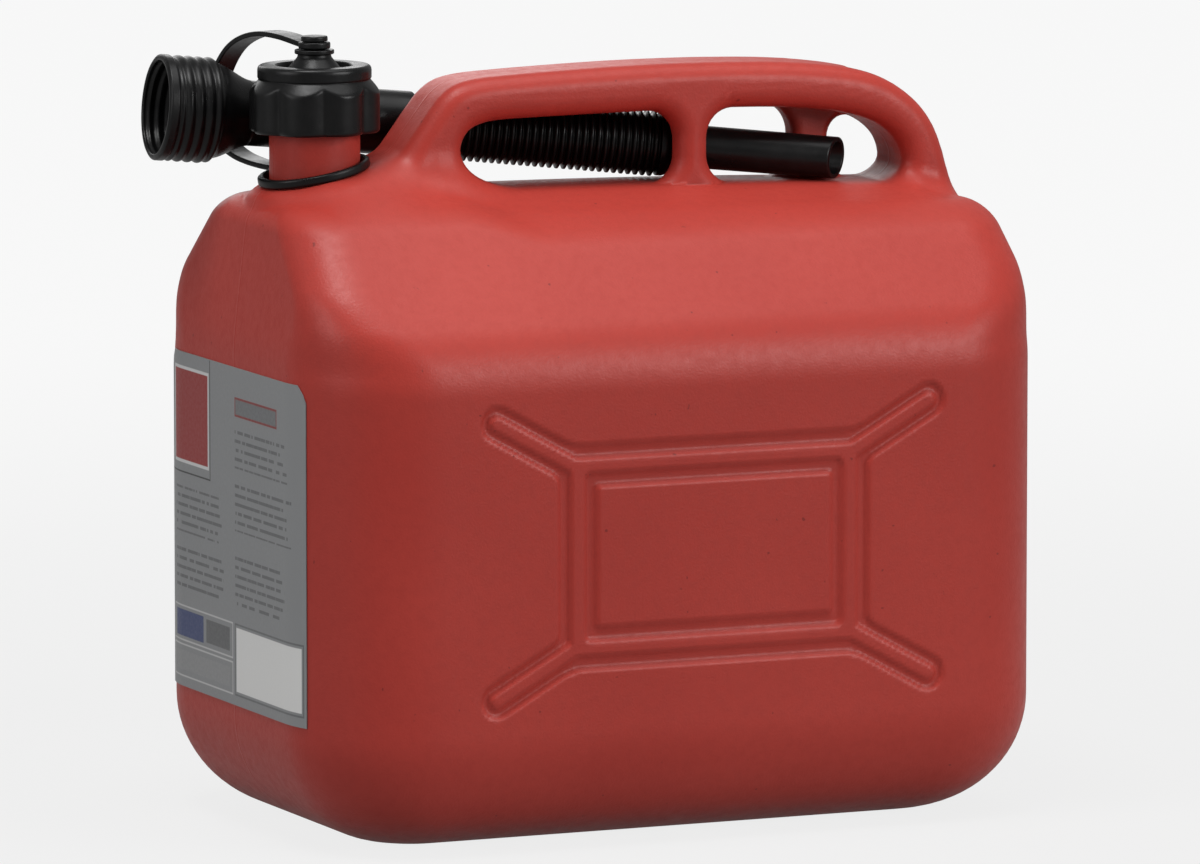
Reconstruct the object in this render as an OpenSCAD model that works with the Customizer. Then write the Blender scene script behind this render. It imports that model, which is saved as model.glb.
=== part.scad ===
// Fuel can with a moulded handle, a tethered screw cap and a flexible pouring spout stowed in the handle.
// Millimetres. +X runs from the neck end to the rear, -Y is the front broad face, +Z is up, z = 0 is the ground.

/* [Tank] */
// Length of the tank along X
body_l = 300; // [260:1:340]
// Width of the tank along Y
body_w = 190; // [165:1:215]
// Height of the handle's sill above the ground, at the front column
sill_z = 238.8; // [212:0.1:266]
// Height of the sill above the tank's flat crown, at the front column
sill_rise = 9.8; // [8:0.1:12]
// Fall of the sill from the front column to the rear column
sill_fall = 5.6; // [4:0.1:6.5]
// Radius of the four upright edges
edge_r = 45; // [34:1:50]
// Radius of the edge round the base
base_r = 44; // [24:1:48]
// Height of the shoulder below the crown
shoulder_drop = 50; // [44:0.5:60]
// Lean of the shoulder from upright, in degrees
shoulder_lean = 45; // [38:0.5:48]
// Radius between the broad side and the shoulder
shoulder_r = 18; // [12:1:26]
// Radius between the shoulder and the crown
crown_r = 8; // [5:0.5:12]
// Radius between the narrow ends and the crown
end_r = 8; // [5:0.5:12]
// Lean-in of the narrow ends over the shoulder's height
end_draft = 4; // [0:0.1:6]
// Thickness of the moulded wall
wall = 2.6; // [2.4:0.1:4]

/* [Panel] */
// Middle of the panel along X
panel_x = 4; // [-6:0.5:8]
// Distance of the panel's middle below the middle of the upright wall
panel_drop = 1.5; // [0:0.5:8]
// Length of the bare panel
panel_l = 95; // [80:1:100]
// Height of the bare panel
panel_h = 52.5; // [42:0.5:56]
// Width of each groove
groove_w = 5.5; // [4:0.1:6.5]
// Width of the raised band between the two grooves
band_w = 5; // [4:0.1:6.5]
// Depth of the grooves
groove_d = 1.4; // [0.8:0.1:1.6]
// Reach of an arm's end past the outer groove along X
arm_out_x = 24.5; // [18:0.5:28]
// Reach of an arm's end past the outer groove along Z
arm_out_z = 9.4; // [7:0.1:11]
// Half of the width of an arm's raised rib
arm_rib = 2.1; // [1.6:0.1:2.6]
// Width of the groove round an arm's rib
arm_groove = 3; // [2.4:0.1:3.6]

/* [Neck] */
// Distance of the neck's axis from the end of the tank
neck_in = 33; // [32:0.5:38]
// Outside radius of the neck
neck_r = 17; // [16:0.1:18]
// Thickness of the neck's wall
neck_wall = 3; // [2.5:0.1:4]
// Height of the sloping seat above the sill, on the neck's axis
seat_rise = 6.7; // [5:0.1:8]
// Rise of the seat towards the handle, in degrees
seat_tilt = 11; // [8:0.2:14]
// Width of the seat past the loose ring
seat_rim = 2.2; // [1.5:0.1:3]
// Height of the neck's rim above the seat
neck_h = 30.5; // [29:0.5:36]

/* [Handle] */
// Half of the grip's width along Y
grip_w = 17; // [15:0.2:18]
// Half of the grip's thickness
grip_t = 9.1; // [8:0.1:11]
// Distance of the front column from the front end of the tank
front_in = 75; // [72:0.5:80]
// Distance of the rear column from the rear end of the tank
rear_in = 19.8; // [16:0.2:26]
// Distance of the near pillar ahead of the rear column
near_back = 98.2; // [94:0.1:104]
// Half of the near pillar's thickness
near_t = 6.5; // [5.6:0.1:7.2]
// Distance of the far pillar ahead of the rear column
far_back = 41; // [38:0.1:44]
// Half of the far pillar's thickness
far_t = 7.4; // [6:0.1:9]
// Clearance between the hose and the near pillar
near_gap = 0.8; // [0.6:0.1:2]
// Clearance between the tip and the far pillar
far_gap = 2.5; // [1:0.1:4]
// Height of the hose's top above the grip's lower face, beside it
hose_tuck = 2.9; // [1.6:0.1:3.4]

/* [Label] */
// Width of the label round the narrow end
label_w = 129.5; // [112:0.5:140]
// Height of the label's lower edge above the base's round edge
label_rise = 4; // [1:0.5:16]
// Distance of the label's upper edge below the shoulder
label_drop = 3.5; // [3:0.5:20]
// Cut of the label's upper corners
label_cut = 5; // [2:0.5:8]
// Thickness of the label
label_t = 0.4; // [0.3:0.05:0.6]
// Glue line behind the label
label_gap = 0.1; // [0.05:0.05:0.2]

/* [Cap] */
// Room for the threads between the neck and the cap
thread_gap = 1.8; // [1.4:0.1:2.2]
// Wall of the cap outside its bore
collar_wall = 2.6; // [2:0.1:3.4]
// Reach of the lobes past the collar
lobe_out = 3.35; // [2.4:0.05:4.4]
// Number of lobes
cap_lobes = 8; // [6:1:10]
// Radius of one lobe
lobe_r = 11; // [9:0.1:12]
// Depth of the cap's skirt below the neck's rim
cap_skirt = 13.5; // [11:0.5:15]
// Thickness of the sealing ring
gasket_t = 3; // [2:0.1:4]
// Clearance below and above the sealing ring
gasket_gap = 0.25; // [0.2:0.05:0.4]
// Height of the top of the lobes above the cap's ceiling
lobe_top = 2.4; // [1.6:0.1:3.2]
// Height of the cap's rim above its ceiling
cap_rim = 8; // [7:0.1:10]
// Depth of the recess in the cap's top
recess_d = 2.6; // [1.6:0.1:3.4]
// Width of the rim round the recess
recess_wall = 4.4; // [3:0.1:6]

/* [Tether] */
// Radius of the stud's shaft in the cap
stud_shaft_r = 4.6; // [4:0.1:5.2]
// Clearance round the shaft and under the foot
stud_gap = 0.4; // [0.3:0.05:0.6]
// Radius of the stud's foot on the cap
stud_foot_r = 9.8; // [8.5:0.1:11]
// Height of the stud's cone
stud_cone = 6.2; // [5:0.1:8]
// Radius of the stud's flange
stud_flange_r = 7.4; // [6.6:0.1:8.2]
// Radius of the groove that holds the eyelet
stud_stem_r = 3.5; // [3:0.1:4]
// Radius of the stud's head
stud_head_r = 5; // [4.6:0.1:5.6]
// Clearance between the eyelet and the stud
eyelet_gap = 0.35; // [0.3:0.05:0.5]
// Thickness of the eyelet
eyelet_t = 2.5; // [2:0.1:3.2]
// Wall of the eyelet
eyelet_wall = 2.15; // [1.6:0.05:2.6]
// Clearance between the neck and the loose ring
ring_gap = 1.6; // [1.4:0.1:2]
// Wall of the loose ring
ring_wall = 2.7; // [2.2:0.1:3.4]
// Thickness of the loose ring
ring_t = 3.4; // [2.6:0.1:3.8]
// Width of the strap
strap_w = 9; // [7:0.2:10]
// Thickness of the strap
strap_t = 2; // [1.6:0.1:2.4]
// Clearance between the strap and the spout inside its loop
strap_gap = 1.2; // [0.8:0.1:4]
// Distance from the neck's axis to the strap's loop, towards the end of the tank
strap_fore = 10; // [8:0.5:12]

/* [Spout] */
// Clearance between the spout's cup and the neck that it screws on
cup_gap = 0.6; // [0.4:0.1:1]
// Wall of the cup
cup_wall = 2.4; // [1.8:0.1:3]
// Thickness of the sealing ring in the cup
spout_gasket_t = 2; // [1.4:0.1:3]
// Length of the cup
cup_l = 22; // [18:0.5:26]
// Distance from the neck's axis to the cup, towards the end of the tank
cup_out = 24.4; // [23:0.1:28]
// Length of the cone between the cup and the tube
cone_l = 14; // [12:0.5:16]
// Radius of the bore in the tube and the hose
tube_bore_r = 9; // [8:0.1:9.8]
// Wall of the smooth tube
tube_wall = 3.3; // [2.4:0.1:3.6]
// Wall of the hose between its ribs
hose_wall = 1.9; // [1.4:0.1:2.4]
// Height of the hose's ribs
rib_h = 1.6; // [1:0.1:2]
// Distance from rib to rib
rib_pitch = 2.75; // [2.4:0.05:3.4]
// Length of the tip
tip_l = 73.9; // [64:0.1:80]
// Outside radius of the tip
tip_r = 8; // [7:0.1:9]
// Wall of the tip
tip_wall = 1.7; // [1.2:0.1:2.4]
// Slant of the tip's cut end, in degrees
tip_cut = 30; // [0:1:35]
// Clearance between the tip's end and the rear column
tip_gap = 20.4; // [16:0.1:30]
// Clearance between the tip and the sill
tip_lift = 0.6; // [0.5:0.1:3]
// Clearance between the cap's lobes and the tube
spout_gap = 2.2; // [1.6:0.1:3]
// Distance from the neck's axis back to the bend at the hose's root
root_back = 54; // [51:0.5:57]
// Slope of the stowed spout, in degrees
spout_pitch = 5.5; // [4.8:0.1:6.2]
// Turn of the cup and tube from X, in degrees
cup_yaw = 6; // [4:0.2:7]
// Turn of the hose and tip from X, in degrees
hose_yaw = 15.2; // [14.6:0.1:15.6]

/* [Hidden] */

red = [0.62, 0.19, 0.17];
black = [0.07, 0.07, 0.07];
grey = [0.50, 0.51, 0.52];
seg = 8;

// Heights and insets that the tank's curves meet at
crown_z = sill_z - sill_rise;
shoulder_z = crown_z - shoulder_drop;
lean_z1 = shoulder_z + shoulder_r * sin(shoulder_lean);
lean_in1 = shoulder_r * (1 - cos(shoulder_lean));
lean_z2 = crown_z - crown_r + crown_r * sin(shoulder_lean);
lean_in2 = lean_in1 + (lean_z2 - lean_z1) * tan(shoulder_lean);
crown_in = lean_in2 + crown_r * cos(shoulder_lean);
end_z = crown_z - end_r;
top_edge_r = 23;

// Panel and label
panel_z = (base_r + shoulder_z) / 2 - panel_drop;
arm_x = panel_l / 2 + 2 * groove_w + band_w + arm_out_x;
arm_z = panel_h / 2 + 2 * groove_w + band_w + arm_out_z;
label_z0 = base_r + label_rise;
label_z1 = shoulder_z - label_drop;

// Neck, loose ring and cap, each from the one inside it
neck_x = -body_l / 2 + neck_in;
neck_bore_r = neck_r - neck_wall;
ring_in_r = neck_r + ring_gap;
ring_r = ring_in_r + ring_wall;
seat_r = ring_r + seat_rim;
seat_z = sill_z + seat_rise;
neck_top = seat_z + neck_h;
cap_bore_r = neck_r + thread_gap;
collar_r = cap_bore_r + collar_wall;
cap_r = collar_r + lobe_out;
cap_z0 = neck_top - cap_skirt;
cap_ceiling = neck_top + gasket_t + 2 * gasket_gap;
cap_z1 = cap_ceiling + lobe_top;
cap_z2 = cap_ceiling + cap_rim;
stud_hole_r = stud_shaft_r + stud_gap;
foot_z = cap_z2 - recess_d + stud_gap;
eyelet_in_r = stud_stem_r + eyelet_gap;
eyelet_r = eyelet_in_r + eyelet_wall;
flange_z = foot_z + stud_cone + 1.6;
head_z = flange_z + eyelet_t + 2 * eyelet_gap;

// Stowed spout: the bend at the hose's root, and the length up to the rear column
cup_bore_r = neck_r + cup_gap;
cup_r = cup_bore_r + cup_wall;
gasket_seat_r = cup_bore_r - 0.4;
tube_r = tube_bore_r + tube_wall;
root_r = tube_bore_r + hose_wall;
rib_r = root_r + rib_h;
tip_bore_r = tip_r - tip_wall;
rear_x = body_l / 2 - rear_in;
front_x = -body_l / 2 + front_in;
root_x = neck_x + root_back;
tip_x = rear_x - grip_t - 2.5 - tip_gap;
reach = (tip_x - root_x) / cos(hose_yaw) / cos(spout_pitch);
root_y = cap_r + spout_gap + tube_r - root_back * tan(cup_yaw);
root_z = sill_at(tip_x) + tip_lift + tip_r / cos(spout_pitch) + reach * sin(spout_pitch);
root = [root_x, root_y, root_z];
tube_l = (root_back + cup_out) / cos(cup_yaw) / cos(spout_pitch) - cone_l;
cuff_start = root_r * tan(hose_yaw - cup_yaw) + 0.15;
hose_start = 2.4;
hose_l = reach - tip_l - hose_start - 0.7;
rib_count = round(hose_l / rib_pitch);
rib_step = hose_l / rib_count;

// Grip and pillars
grip_z = root_z - hose_l / 2 * sin(spout_pitch) + rib_r - hose_tuck + grip_t;
near_x = rear_x - near_back;
far_x = rear_x - far_back;

// Height of the sill's flat top, which falls in a curve towards the rear
function sill_at(x) = sill_z - sill_fall * pow((x - front_x) / (rear_x - front_x), 2);

function base_in(z) = z >= base_r ? 0 : base_r - sqrt(max(0, base_r * base_r - (base_r - z) * (base_r - z)));

function side_in(z) =
    z <= shoulder_z ? base_in(z) :
    z <= lean_z1 ? shoulder_r - sqrt(shoulder_r * shoulder_r - (z - shoulder_z) * (z - shoulder_z)) :
    z <= lean_z2 ? lean_in1 + (z - lean_z1) * tan(shoulder_lean) :
    crown_in - sqrt(max(0, crown_r * crown_r - (z - crown_z + crown_r) * (z - crown_z + crown_r)));

function end_in(z) =
    z <= shoulder_z ? base_in(z) :
    z <= end_z ? end_draft * (z - shoulder_z) / (end_z - shoulder_z) :
    end_draft + end_r - sqrt(max(0, end_r * end_r - (z - end_z) * (z - end_z)));

function corner_r(z) =
    z <= shoulder_z ? edge_r - 0.76 * min(1, edge_r / base_r) * base_in(z) :
    edge_r + (top_edge_r - edge_r) * min(1, 1.6 * (z - shoulder_z) / shoulder_drop);

// One closed ring of the tank: a rectangle with rounded corners, inset by t
function tank_ring(z, t, n, zz) =
    let (a = body_l / 2 - end_in(z) - t, b = body_w / 2 - side_in(z) - t, r = max(1, corner_r(z) - t))
    [for (q = [0:3]) for (i = [0:n])
        let (w = q * 90 + i * 90 / n, sx = (q == 0 || q == 3) ? 1 : -1, sy = q < 2 ? 1 : -1)
        [sx * (a - r) + r * cos(w), sy * (b - r) + r * sin(w), zz]];

levels = concat(
    [for (w = [0:15:90]) base_r * (1 - cos(w))],
    [shoulder_z],
    [for (i = [1:3]) shoulder_z + shoulder_r * sin(shoulder_lean * i / 3)],
    [min(end_z, lean_z2 - 1)],
    [for (i = [0:4]) crown_z - crown_r + crown_r * sin(shoulder_lean + (90 - shoulder_lean) * i / 4)]);

// Skin over a list of rings. Every stride-th side is flat and stays one four-sided face
module skin(rings, stride) {
    m = len(rings[0]);
    k = len(rings);
    polyhedron(
        points = [for (r = rings) each r],
        faces = concat(
            [[for (i = [0:m - 1]) i]],
            [for (j = [0:k - 2]) for (i = [0:m - 1])
                let (p = j * m + i, q = j * m + (i + 1) % m)
                if (stride > 0 && i % stride == stride - 1) [p, p + m, q + m, q]],
            [for (j = [0:k - 2]) for (i = [0:m - 1])
                let (p = j * m + i, q = j * m + (i + 1) % m)
                if (!(stride > 0 && i % stride == stride - 1)) each [[p, p + m, q + m], [p, q + m, q]]],
            [[for (i = [m - 1:-1:0]) (k - 1) * m + i]]),
        convexity = 6);
}

module tank_outer() {
    skin([for (z = levels) tank_ring(z, 0, seg, z)], seg + 1);
}

module tank_inner() {
    f = (crown_z - 2 * wall) / crown_z;
    skin([for (z = levels) tank_ring(z, wall, seg, wall + f * z)], seg + 1);
}

// Sill under the handle: a flat top as wide as the grip, with sides that slope out to the crown
function sill_ring(x, z, foot, low, t) =
    [[x, 2 * t - foot, low], [x, foot - 2 * t, low], [x, grip_w - t, z - t], [x, t - grip_w, z - t]];

module sill() {
    foot = body_w / 2 - crown_in + 4;
    low = crown_z - 2;
    skin(concat([sill_ring(front_x - 22, crown_z - 1, 30, low, 0)],
        [for (i = [0:6]) let (x = front_x + i / 6 * (rear_x - front_x - 10)) sill_ring(x, sill_at(x), foot, low, 0)],
        [sill_ring(rear_x + 4, crown_z - 1, 34, low, 0)]), 0);
}

module sill_hollow() {
    foot = body_w / 2 - crown_in + 4;
    skin([for (i = [0:4]) let (x = front_x + 30 + i / 4 * (rear_x - front_x - 66)) sill_ring(x, sill_at(x), foot, crown_z - wall - 2, wall)], 0);
}

// Grip stations: middle x, height above the sill, half thickness in the XZ plane, half width along Y
front_run = [
    [4, -13, 30, 5], [1.6, -3.5, 24.6, 2.4], [0, 5, 19.4, 0.7], [-1.8, 13, 15.8, 0],
    [1.6, 20.5, 12.4, 0], [6, 27.6, 11.6, 0], [12.4, 33, 11.2, 0], [24, 35.6, 10.2, 0]];
rear_run = [
    [-38.2, 35.6, 8.7, 0], [-25.2, 33, 8.8, 0], [-14.2, 28.6, 9, 0], [-6.2, 22, 9.4, 0],
    [-1.5, 14, 9.8, 0], [0, 6, 11, 0.3], [-0.8, -2, 15, 2], [-2.7, -12, 19, 4]];
run_x0 = front_x + front_run[7][0];
run_x1 = rear_x + rear_run[0][0];
function station(x, z0, s) = [x + s[0], z0 + s[1] * (s[1] > 0 ? (grip_z - 3 - z0) / 35.6 : 1), s[2] + grip_t - 9.8, grip_w + s[3]];
grip = concat(
    [for (s = front_run) station(front_x, sill_z, s)],
    [for (i = [1:7]) let (f = i / 8)
        [run_x0 + f * (run_x1 - run_x0), grip_z - 3 * pow(2 * f - 1, 2), grip_t + 0.2 - 1.3 * f * f, grip_w]],
    [for (s = rear_run) station(rear_x, sill_z - sill_fall, s)]);

function pw(v, e) = sign(v) * pow(abs(v), e);

// A rounded section set square to the grip's path in the XZ plane
function grip_ring(k, n) =
    let (p = grip[max(0, k - 1)], q = grip[min(len(grip) - 1, k + 1)], s = grip[k],
        d = sqrt(pow(q[0] - p[0], 2) + pow(q[1] - p[1], 2)), tx = (q[0] - p[0]) / d, tz = (q[1] - p[1]) / d)
    [for (i = [0:n - 1]) let (w = i * 360 / n, u = s[2] * pw(sin(w), 0.8), v = s[3] * pw(cos(w), 0.8))
        [s[0] - tz * u, v, s[1] + tx * u]];

// A pillar of rounded section, waisted between the sill and the grip
module pillar(x, y0, y1, half) {
    n = 16;
    low = sill_at(x) - 6.5;
    high = grip_z - grip_t + 6.1;
    skin([for (i = [0:8]) let (f = (i - 4) / 4, h = half + 8 * pow(abs(f), 3), z = (low + high) / 2 + f * (high - low) / 2)
        [for (j = [0:n - 1]) let (w = j * 360 / n)
            [x + h * pw(cos(w), 0.75), (y0 + y1) / 2 + (y1 - y0) / 2 * pw(sin(w), 0.75), z]]], 0);
}

function spout_y(x) = root[1] - (x - root[0]) * tan(hose_yaw);

// Outline of the outer groove's edge, or of the raised band inside it
module frame_shape(half_l, half_h, r) {
    square([2 * half_l, 2 * half_h], center = true);
    w = atan2(arm_z - panel_h / 2 - groove_w - band_w / 2, arm_x - panel_l / 2 - groove_w - band_w / 2);
    for (sx = [-1, 1], sz = [-1, 1]) translate([sx * arm_x, sz * arm_z]) {
        circle(r = r, $fn = 32);
        rotate(sz * (sx > 0 ? 180 + w : -w)) translate([0, -0.97 * r]) square([36, 1.94 * r]);
    }
}

module panel_grooves() {
    hl = panel_l / 2 + groove_w;
    hh = panel_h / 2 + groove_w;
    linear_extrude(groove_d + 2) {
        difference() {
            frame_shape(hl + band_w + groove_w, hh + band_w + groove_w, arm_rib + arm_groove);
            frame_shape(hl + band_w, hh + band_w, arm_rib);
        }
        difference() {
            square([2 * hl, 2 * hh], center = true);
            square([panel_l, panel_h], center = true);
        }
    }
}

module seat_frame() {
    translate([neck_x, 0, seat_z]) rotate([0, -seat_tilt, 0]) children();
}

module can_body() {
    color(red) difference() {
        union() {
            tank_outer();
            skin([for (k = [0:len(grip) - 1]) grip_ring(k, 20)], 0);
            pillar(near_x, -grip_w + 1, spout_y(near_x) - rib_r - near_gap, near_t);
            pillar(far_x, spout_y(far_x) + tip_r + far_gap, grip_w - 1, far_t);
            sill();
            intersection() {
                seat_frame() translate([0, 0, -22]) cylinder(r1 = seat_r + 20, r2 = seat_r, h = 22, $fn = 64);
                translate([end_draft - 0.6 - body_l / 2, -body_w / 2, crown_z - 40]) cube([120, body_w, 100]);
            }
            translate([neck_x, 0, crown_z - 8]) cylinder(r = neck_r, h = neck_top - crown_z + 8, $fn = 64);
        }
        tank_inner();
        sill_hollow();
        translate([neck_x, 0, crown_z - 20]) cylinder(r = neck_bore_r, h = 80, $fn = 64);
        translate([panel_x, -body_w / 2 + groove_d, panel_z]) rotate([90, 0, 0]) panel_grooves();
        mirror([0, 1, 0]) translate([panel_x, -body_w / 2 + groove_d, panel_z]) rotate([90, 0, 0]) panel_grooves();
    }
}

// Plan of the tank's upright wall, grown by t
module wall_plan(t) {
    x = body_l / 2 - edge_r;
    y = body_w / 2 - edge_r;
    square([2 * x, body_w + 2 * t], center = true);
    square([body_l + 2 * t, 2 * y], center = true);
    for (sx = [-1, 1], sy = [-1, 1]) translate([sx * x, sy * y]) circle(r = edge_r + t, $fn = 96);
}

module label() {
    c = label_cut;
    color(grey) intersection() {
        translate([0, 0, label_z0]) linear_extrude(label_z1 - label_z0) difference() {
            wall_plan(label_gap + label_t);
            wall_plan(label_gap);
        }
        translate([-body_l / 2 - 2, 0, 0]) rotate([90, 0, 90]) linear_extrude(60) polygon([
            [-label_w / 2, label_z0 - 1], [label_w / 2, label_z0 - 1], [label_w / 2, label_z1 - c],
            [label_w / 2 - c, label_z1], [label_w / 2 - c, label_z1 + 1], [-label_w / 2 + c, label_z1 + 1], [-label_w / 2 + c, label_z1], [-label_w / 2, label_z1 - c]]);
    }
}

module screw_cap() {
    color(black) translate([neck_x, 0, 0]) difference() {
        union() {
            intersection() {
                translate([0, 0, cap_z0]) linear_extrude(cap_z1 - cap_z0) {
                    circle(r = collar_r - 1, $fn = 64);
                    for (i = [0:cap_lobes - 1]) rotate(i * 360 / cap_lobes + 9) translate([cap_r - lobe_r, 0]) circle(r = lobe_r, $fn = 48);
                }
                translate([0, 0, cap_z0]) cylinder(r1 = cap_r + 13, r2 = collar_r - 0.4, h = cap_z1 - cap_z0, $fn = 96);
            }
            rotate_extrude($fn = 96) translate([0, cap_ceiling - 2]) {
                square([collar_r, cap_z2 - cap_ceiling]);
                square([collar_r - 2, cap_z2 - cap_ceiling + 2]);
                translate([collar_r - 2, cap_z2 - cap_ceiling]) circle(r = 2, $fn = 32);
            }
        }
        translate([0, 0, cap_z0 - 1]) cylinder(r = cap_bore_r, h = cap_ceiling - cap_z0 + 1, $fn = 96);
        translate([0, 0, cap_ceiling - 1]) cylinder(r = stud_hole_r, h = 20, $fn = 48);
        translate([0, 0, cap_z2 - recess_d]) cylinder(r = collar_r - recess_wall, h = 10, $fn = 96);
    }
}

module cap_gasket() {
    color([0.25, 0.25, 0.26]) translate([neck_x, 0, neck_top + gasket_gap]) difference() {
        cylinder(r = cap_bore_r - gasket_gap, h = gasket_t, $fn = 64);
        translate([0, 0, -1]) cylinder(r = neck_bore_r - 1.5, h = 10, $fn = 64);
    }
}

module cap_stud() {
    snap_r = stud_hole_r + 0.7;
    color(black) translate([neck_x, 0, 0]) rotate_extrude($fn = 64) polygon([
        [0, cap_ceiling - stud_gap - 2], [snap_r, cap_ceiling - stud_gap - 2], [snap_r, cap_ceiling - stud_gap],
        [stud_shaft_r, cap_ceiling - stud_gap], [stud_shaft_r, foot_z], [stud_foot_r, foot_z], [stud_foot_r, foot_z + 0.9],
        [stud_flange_r - 1.2, foot_z + stud_cone], [stud_flange_r, foot_z + stud_cone], [stud_flange_r, flange_z],
        [stud_stem_r, flange_z], [stud_stem_r, head_z], [stud_head_r, head_z], [stud_head_r, head_z + 1.1],
        [stud_head_r - 0.9, head_z + 1.9], [0, head_z + 1.9]]);
}

module strap_eyelet() {
    color(black) translate([neck_x, 0, flange_z + eyelet_gap]) difference() {
        cylinder(r = eyelet_r, h = eyelet_t, $fn = 48);
        translate([0, 0, -1]) cylinder(r = eyelet_in_r, h = 6, $fn = 48);
    }
}

// The strap's loop from the eyelet, over the stowed spout and back to the ring: shares of the way out and of the height
strap_turn = atan2(58, -11);
strap_out = (root_y + (root_back + strap_fore) * tan(hose_yaw) + rib_r / cos(hose_yaw) + strap_gap + strap_t / 2) / sin(strap_turn);
strap_z0 = seat_z + ring_t / 2 - 0.6;
strap_z1 = flange_z + eyelet_gap + eyelet_t / 2;
strap_loop = [
    [0.07, 1.017], [0.2, 1.036], [0.36, 1.042], [0.51, 1.023], [0.65, 0.975], [0.77, 0.9], [0.87, 0.79], [0.95, 0.65], [1, 0.5],
    [0.995, 0.34], [0.945, 0.205], [0.85, 0.11], [0.72, 0.05], [0.58, 0.02], [0.44, 0.005], [0.34, 0]];
strap_path = concat(
    [[eyelet_r + 0.4, strap_z1]],
    [for (f = strap_loop) [eyelet_r + f[0] * (strap_out - eyelet_r), strap_z0 + f[1] * (strap_z1 - strap_z0)]],
    [[ring_r + 0.3, strap_z0]]);

module strap() {
    color(black) translate([neck_x, 0, 0]) rotate(strap_turn) skin([for (k = [0:len(strap_path) - 1])
        let (p = strap_path[max(0, k - 1)], q = strap_path[min(len(strap_path) - 1, k + 1)], s = strap_path[k],
            d = sqrt(pow(q[0] - p[0], 2) + pow(q[1] - p[1], 2)), nx = -(q[1] - p[1]) / d * strap_t / 2, nz = (q[0] - p[0]) / d * strap_t / 2)
        [[s[0] + nx, -strap_w / 2, s[1] + nz], [s[0] - nx, -strap_w / 2, s[1] - nz],
            [s[0] - nx, strap_w / 2, s[1] - nz], [s[0] + nx, strap_w / 2, s[1] + nz]]], 0);
}

module neck_ring() {
    color(black) seat_frame() translate([0, 0, gasket_gap]) difference() {
        cylinder(r = ring_r, h = ring_t, $fn = 64);
        translate([0, 0, -1]) cylinder(r = ring_in_r, h = ring_t + 2, $fn = 64);
    }
}

// Local frames at the hose's root: the cup's run points back along its own axis, the hose's run points to the tip
module cup_frame() {
    translate(root) rotate([0, 0, 180 - cup_yaw]) rotate([0, 90 - spout_pitch, 0]) children();
}

module hose_frame() {
    translate(root) rotate([0, 0, -hose_yaw]) rotate([0, 90 + spout_pitch, 0]) children();
}

module spout_coupling() {
    z1 = tube_l;
    z2 = tube_l + cone_l;
    z3 = z2 + cup_l;
    z4 = z2 + cup_wall + spout_gasket_t + 2 * gasket_gap;
    color(black) cup_frame() rotate_extrude($fn = 64) polygon([
        [tube_bore_r, z1], [tube_r, z1], [cup_r - 2, z2], [cup_r, z2 + 1], [cup_r, z3],
        [cup_bore_r, z3], [cup_bore_r, z4], [gasket_seat_r, z4], [gasket_seat_r, z2 + cup_wall], [tube_bore_r, z2 + cup_wall]]);
}

module spout_cuff() {
    color(black) cup_frame() translate([0, 0, cuff_start]) difference() {
        cylinder(r = tube_r, h = tube_l - cuff_start, $fn = 64);
        translate([0, 0, -1]) cylinder(r = tube_bore_r, h = tube_l, $fn = 64);
    }
}

module spout_gasket() {
    color([0.25, 0.25, 0.26]) cup_frame() translate([0, 0, tube_l + cone_l + cup_wall + gasket_gap]) difference() {
        cylinder(r = gasket_seat_r - gasket_gap, h = spout_gasket_t, $fn = 64);
        translate([0, 0, -1]) cylinder(r = tube_bore_r + 1, h = 5, $fn = 64);
    }
}

module spout_hose() {
    z1 = hose_start + hose_l;
    color(black) hose_frame() rotate_extrude($fn = 64) polygon(concat(
        [[tube_bore_r, 0], [root_r, 0], [root_r, hose_start]],
        [for (i = [0:rib_count - 1]) each [[rib_r, hose_start + (i + 0.5) * rib_step], [root_r, hose_start + (i + 1) * rib_step]]],
        [[root_r, z1 + 0.6], [tube_bore_r, z1 + 0.6]]));
}

module spout_tip() {
    z0 = reach - tip_l;
    color(black) hose_frame() difference() {
        rotate_extrude($fn = 64) polygon([
            [tube_bore_r, z0], [rib_r - 0.4, z0], [rib_r - 0.4, z0 + 2], [tip_r + 0.2, z0 + 11], [tip_r, reach],
            [tip_bore_r, reach], [tip_bore_r, z0 + 12], [tube_bore_r, z0 + 2]]);
        translate([0, 0, reach - tip_r * tan(tip_cut)]) rotate([tip_cut, 0, 0]) translate([-30, -30, 0]) cube([60, 60, 60]);
    }
}

can_body();
label();
screw_cap();
cap_gasket();
cap_stud();
strap_eyelet();
strap();
neck_ring();
spout_coupling();
spout_cuff();
spout_gasket();
spout_hose();
spout_tip();
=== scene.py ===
# %% [markdown]
# # A moulded fuel can with its spout stowed in the handle
# The can is one blow-moulded shell with a handle moulded in. A lobed cap sits on its neck, a strap
# ties the cap to a loose ring, and a ribbed pouring spout lies through the handle. Each piece below
# is an array of points worked out from a formula, in millimetres, in the same frame as the solids.

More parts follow.
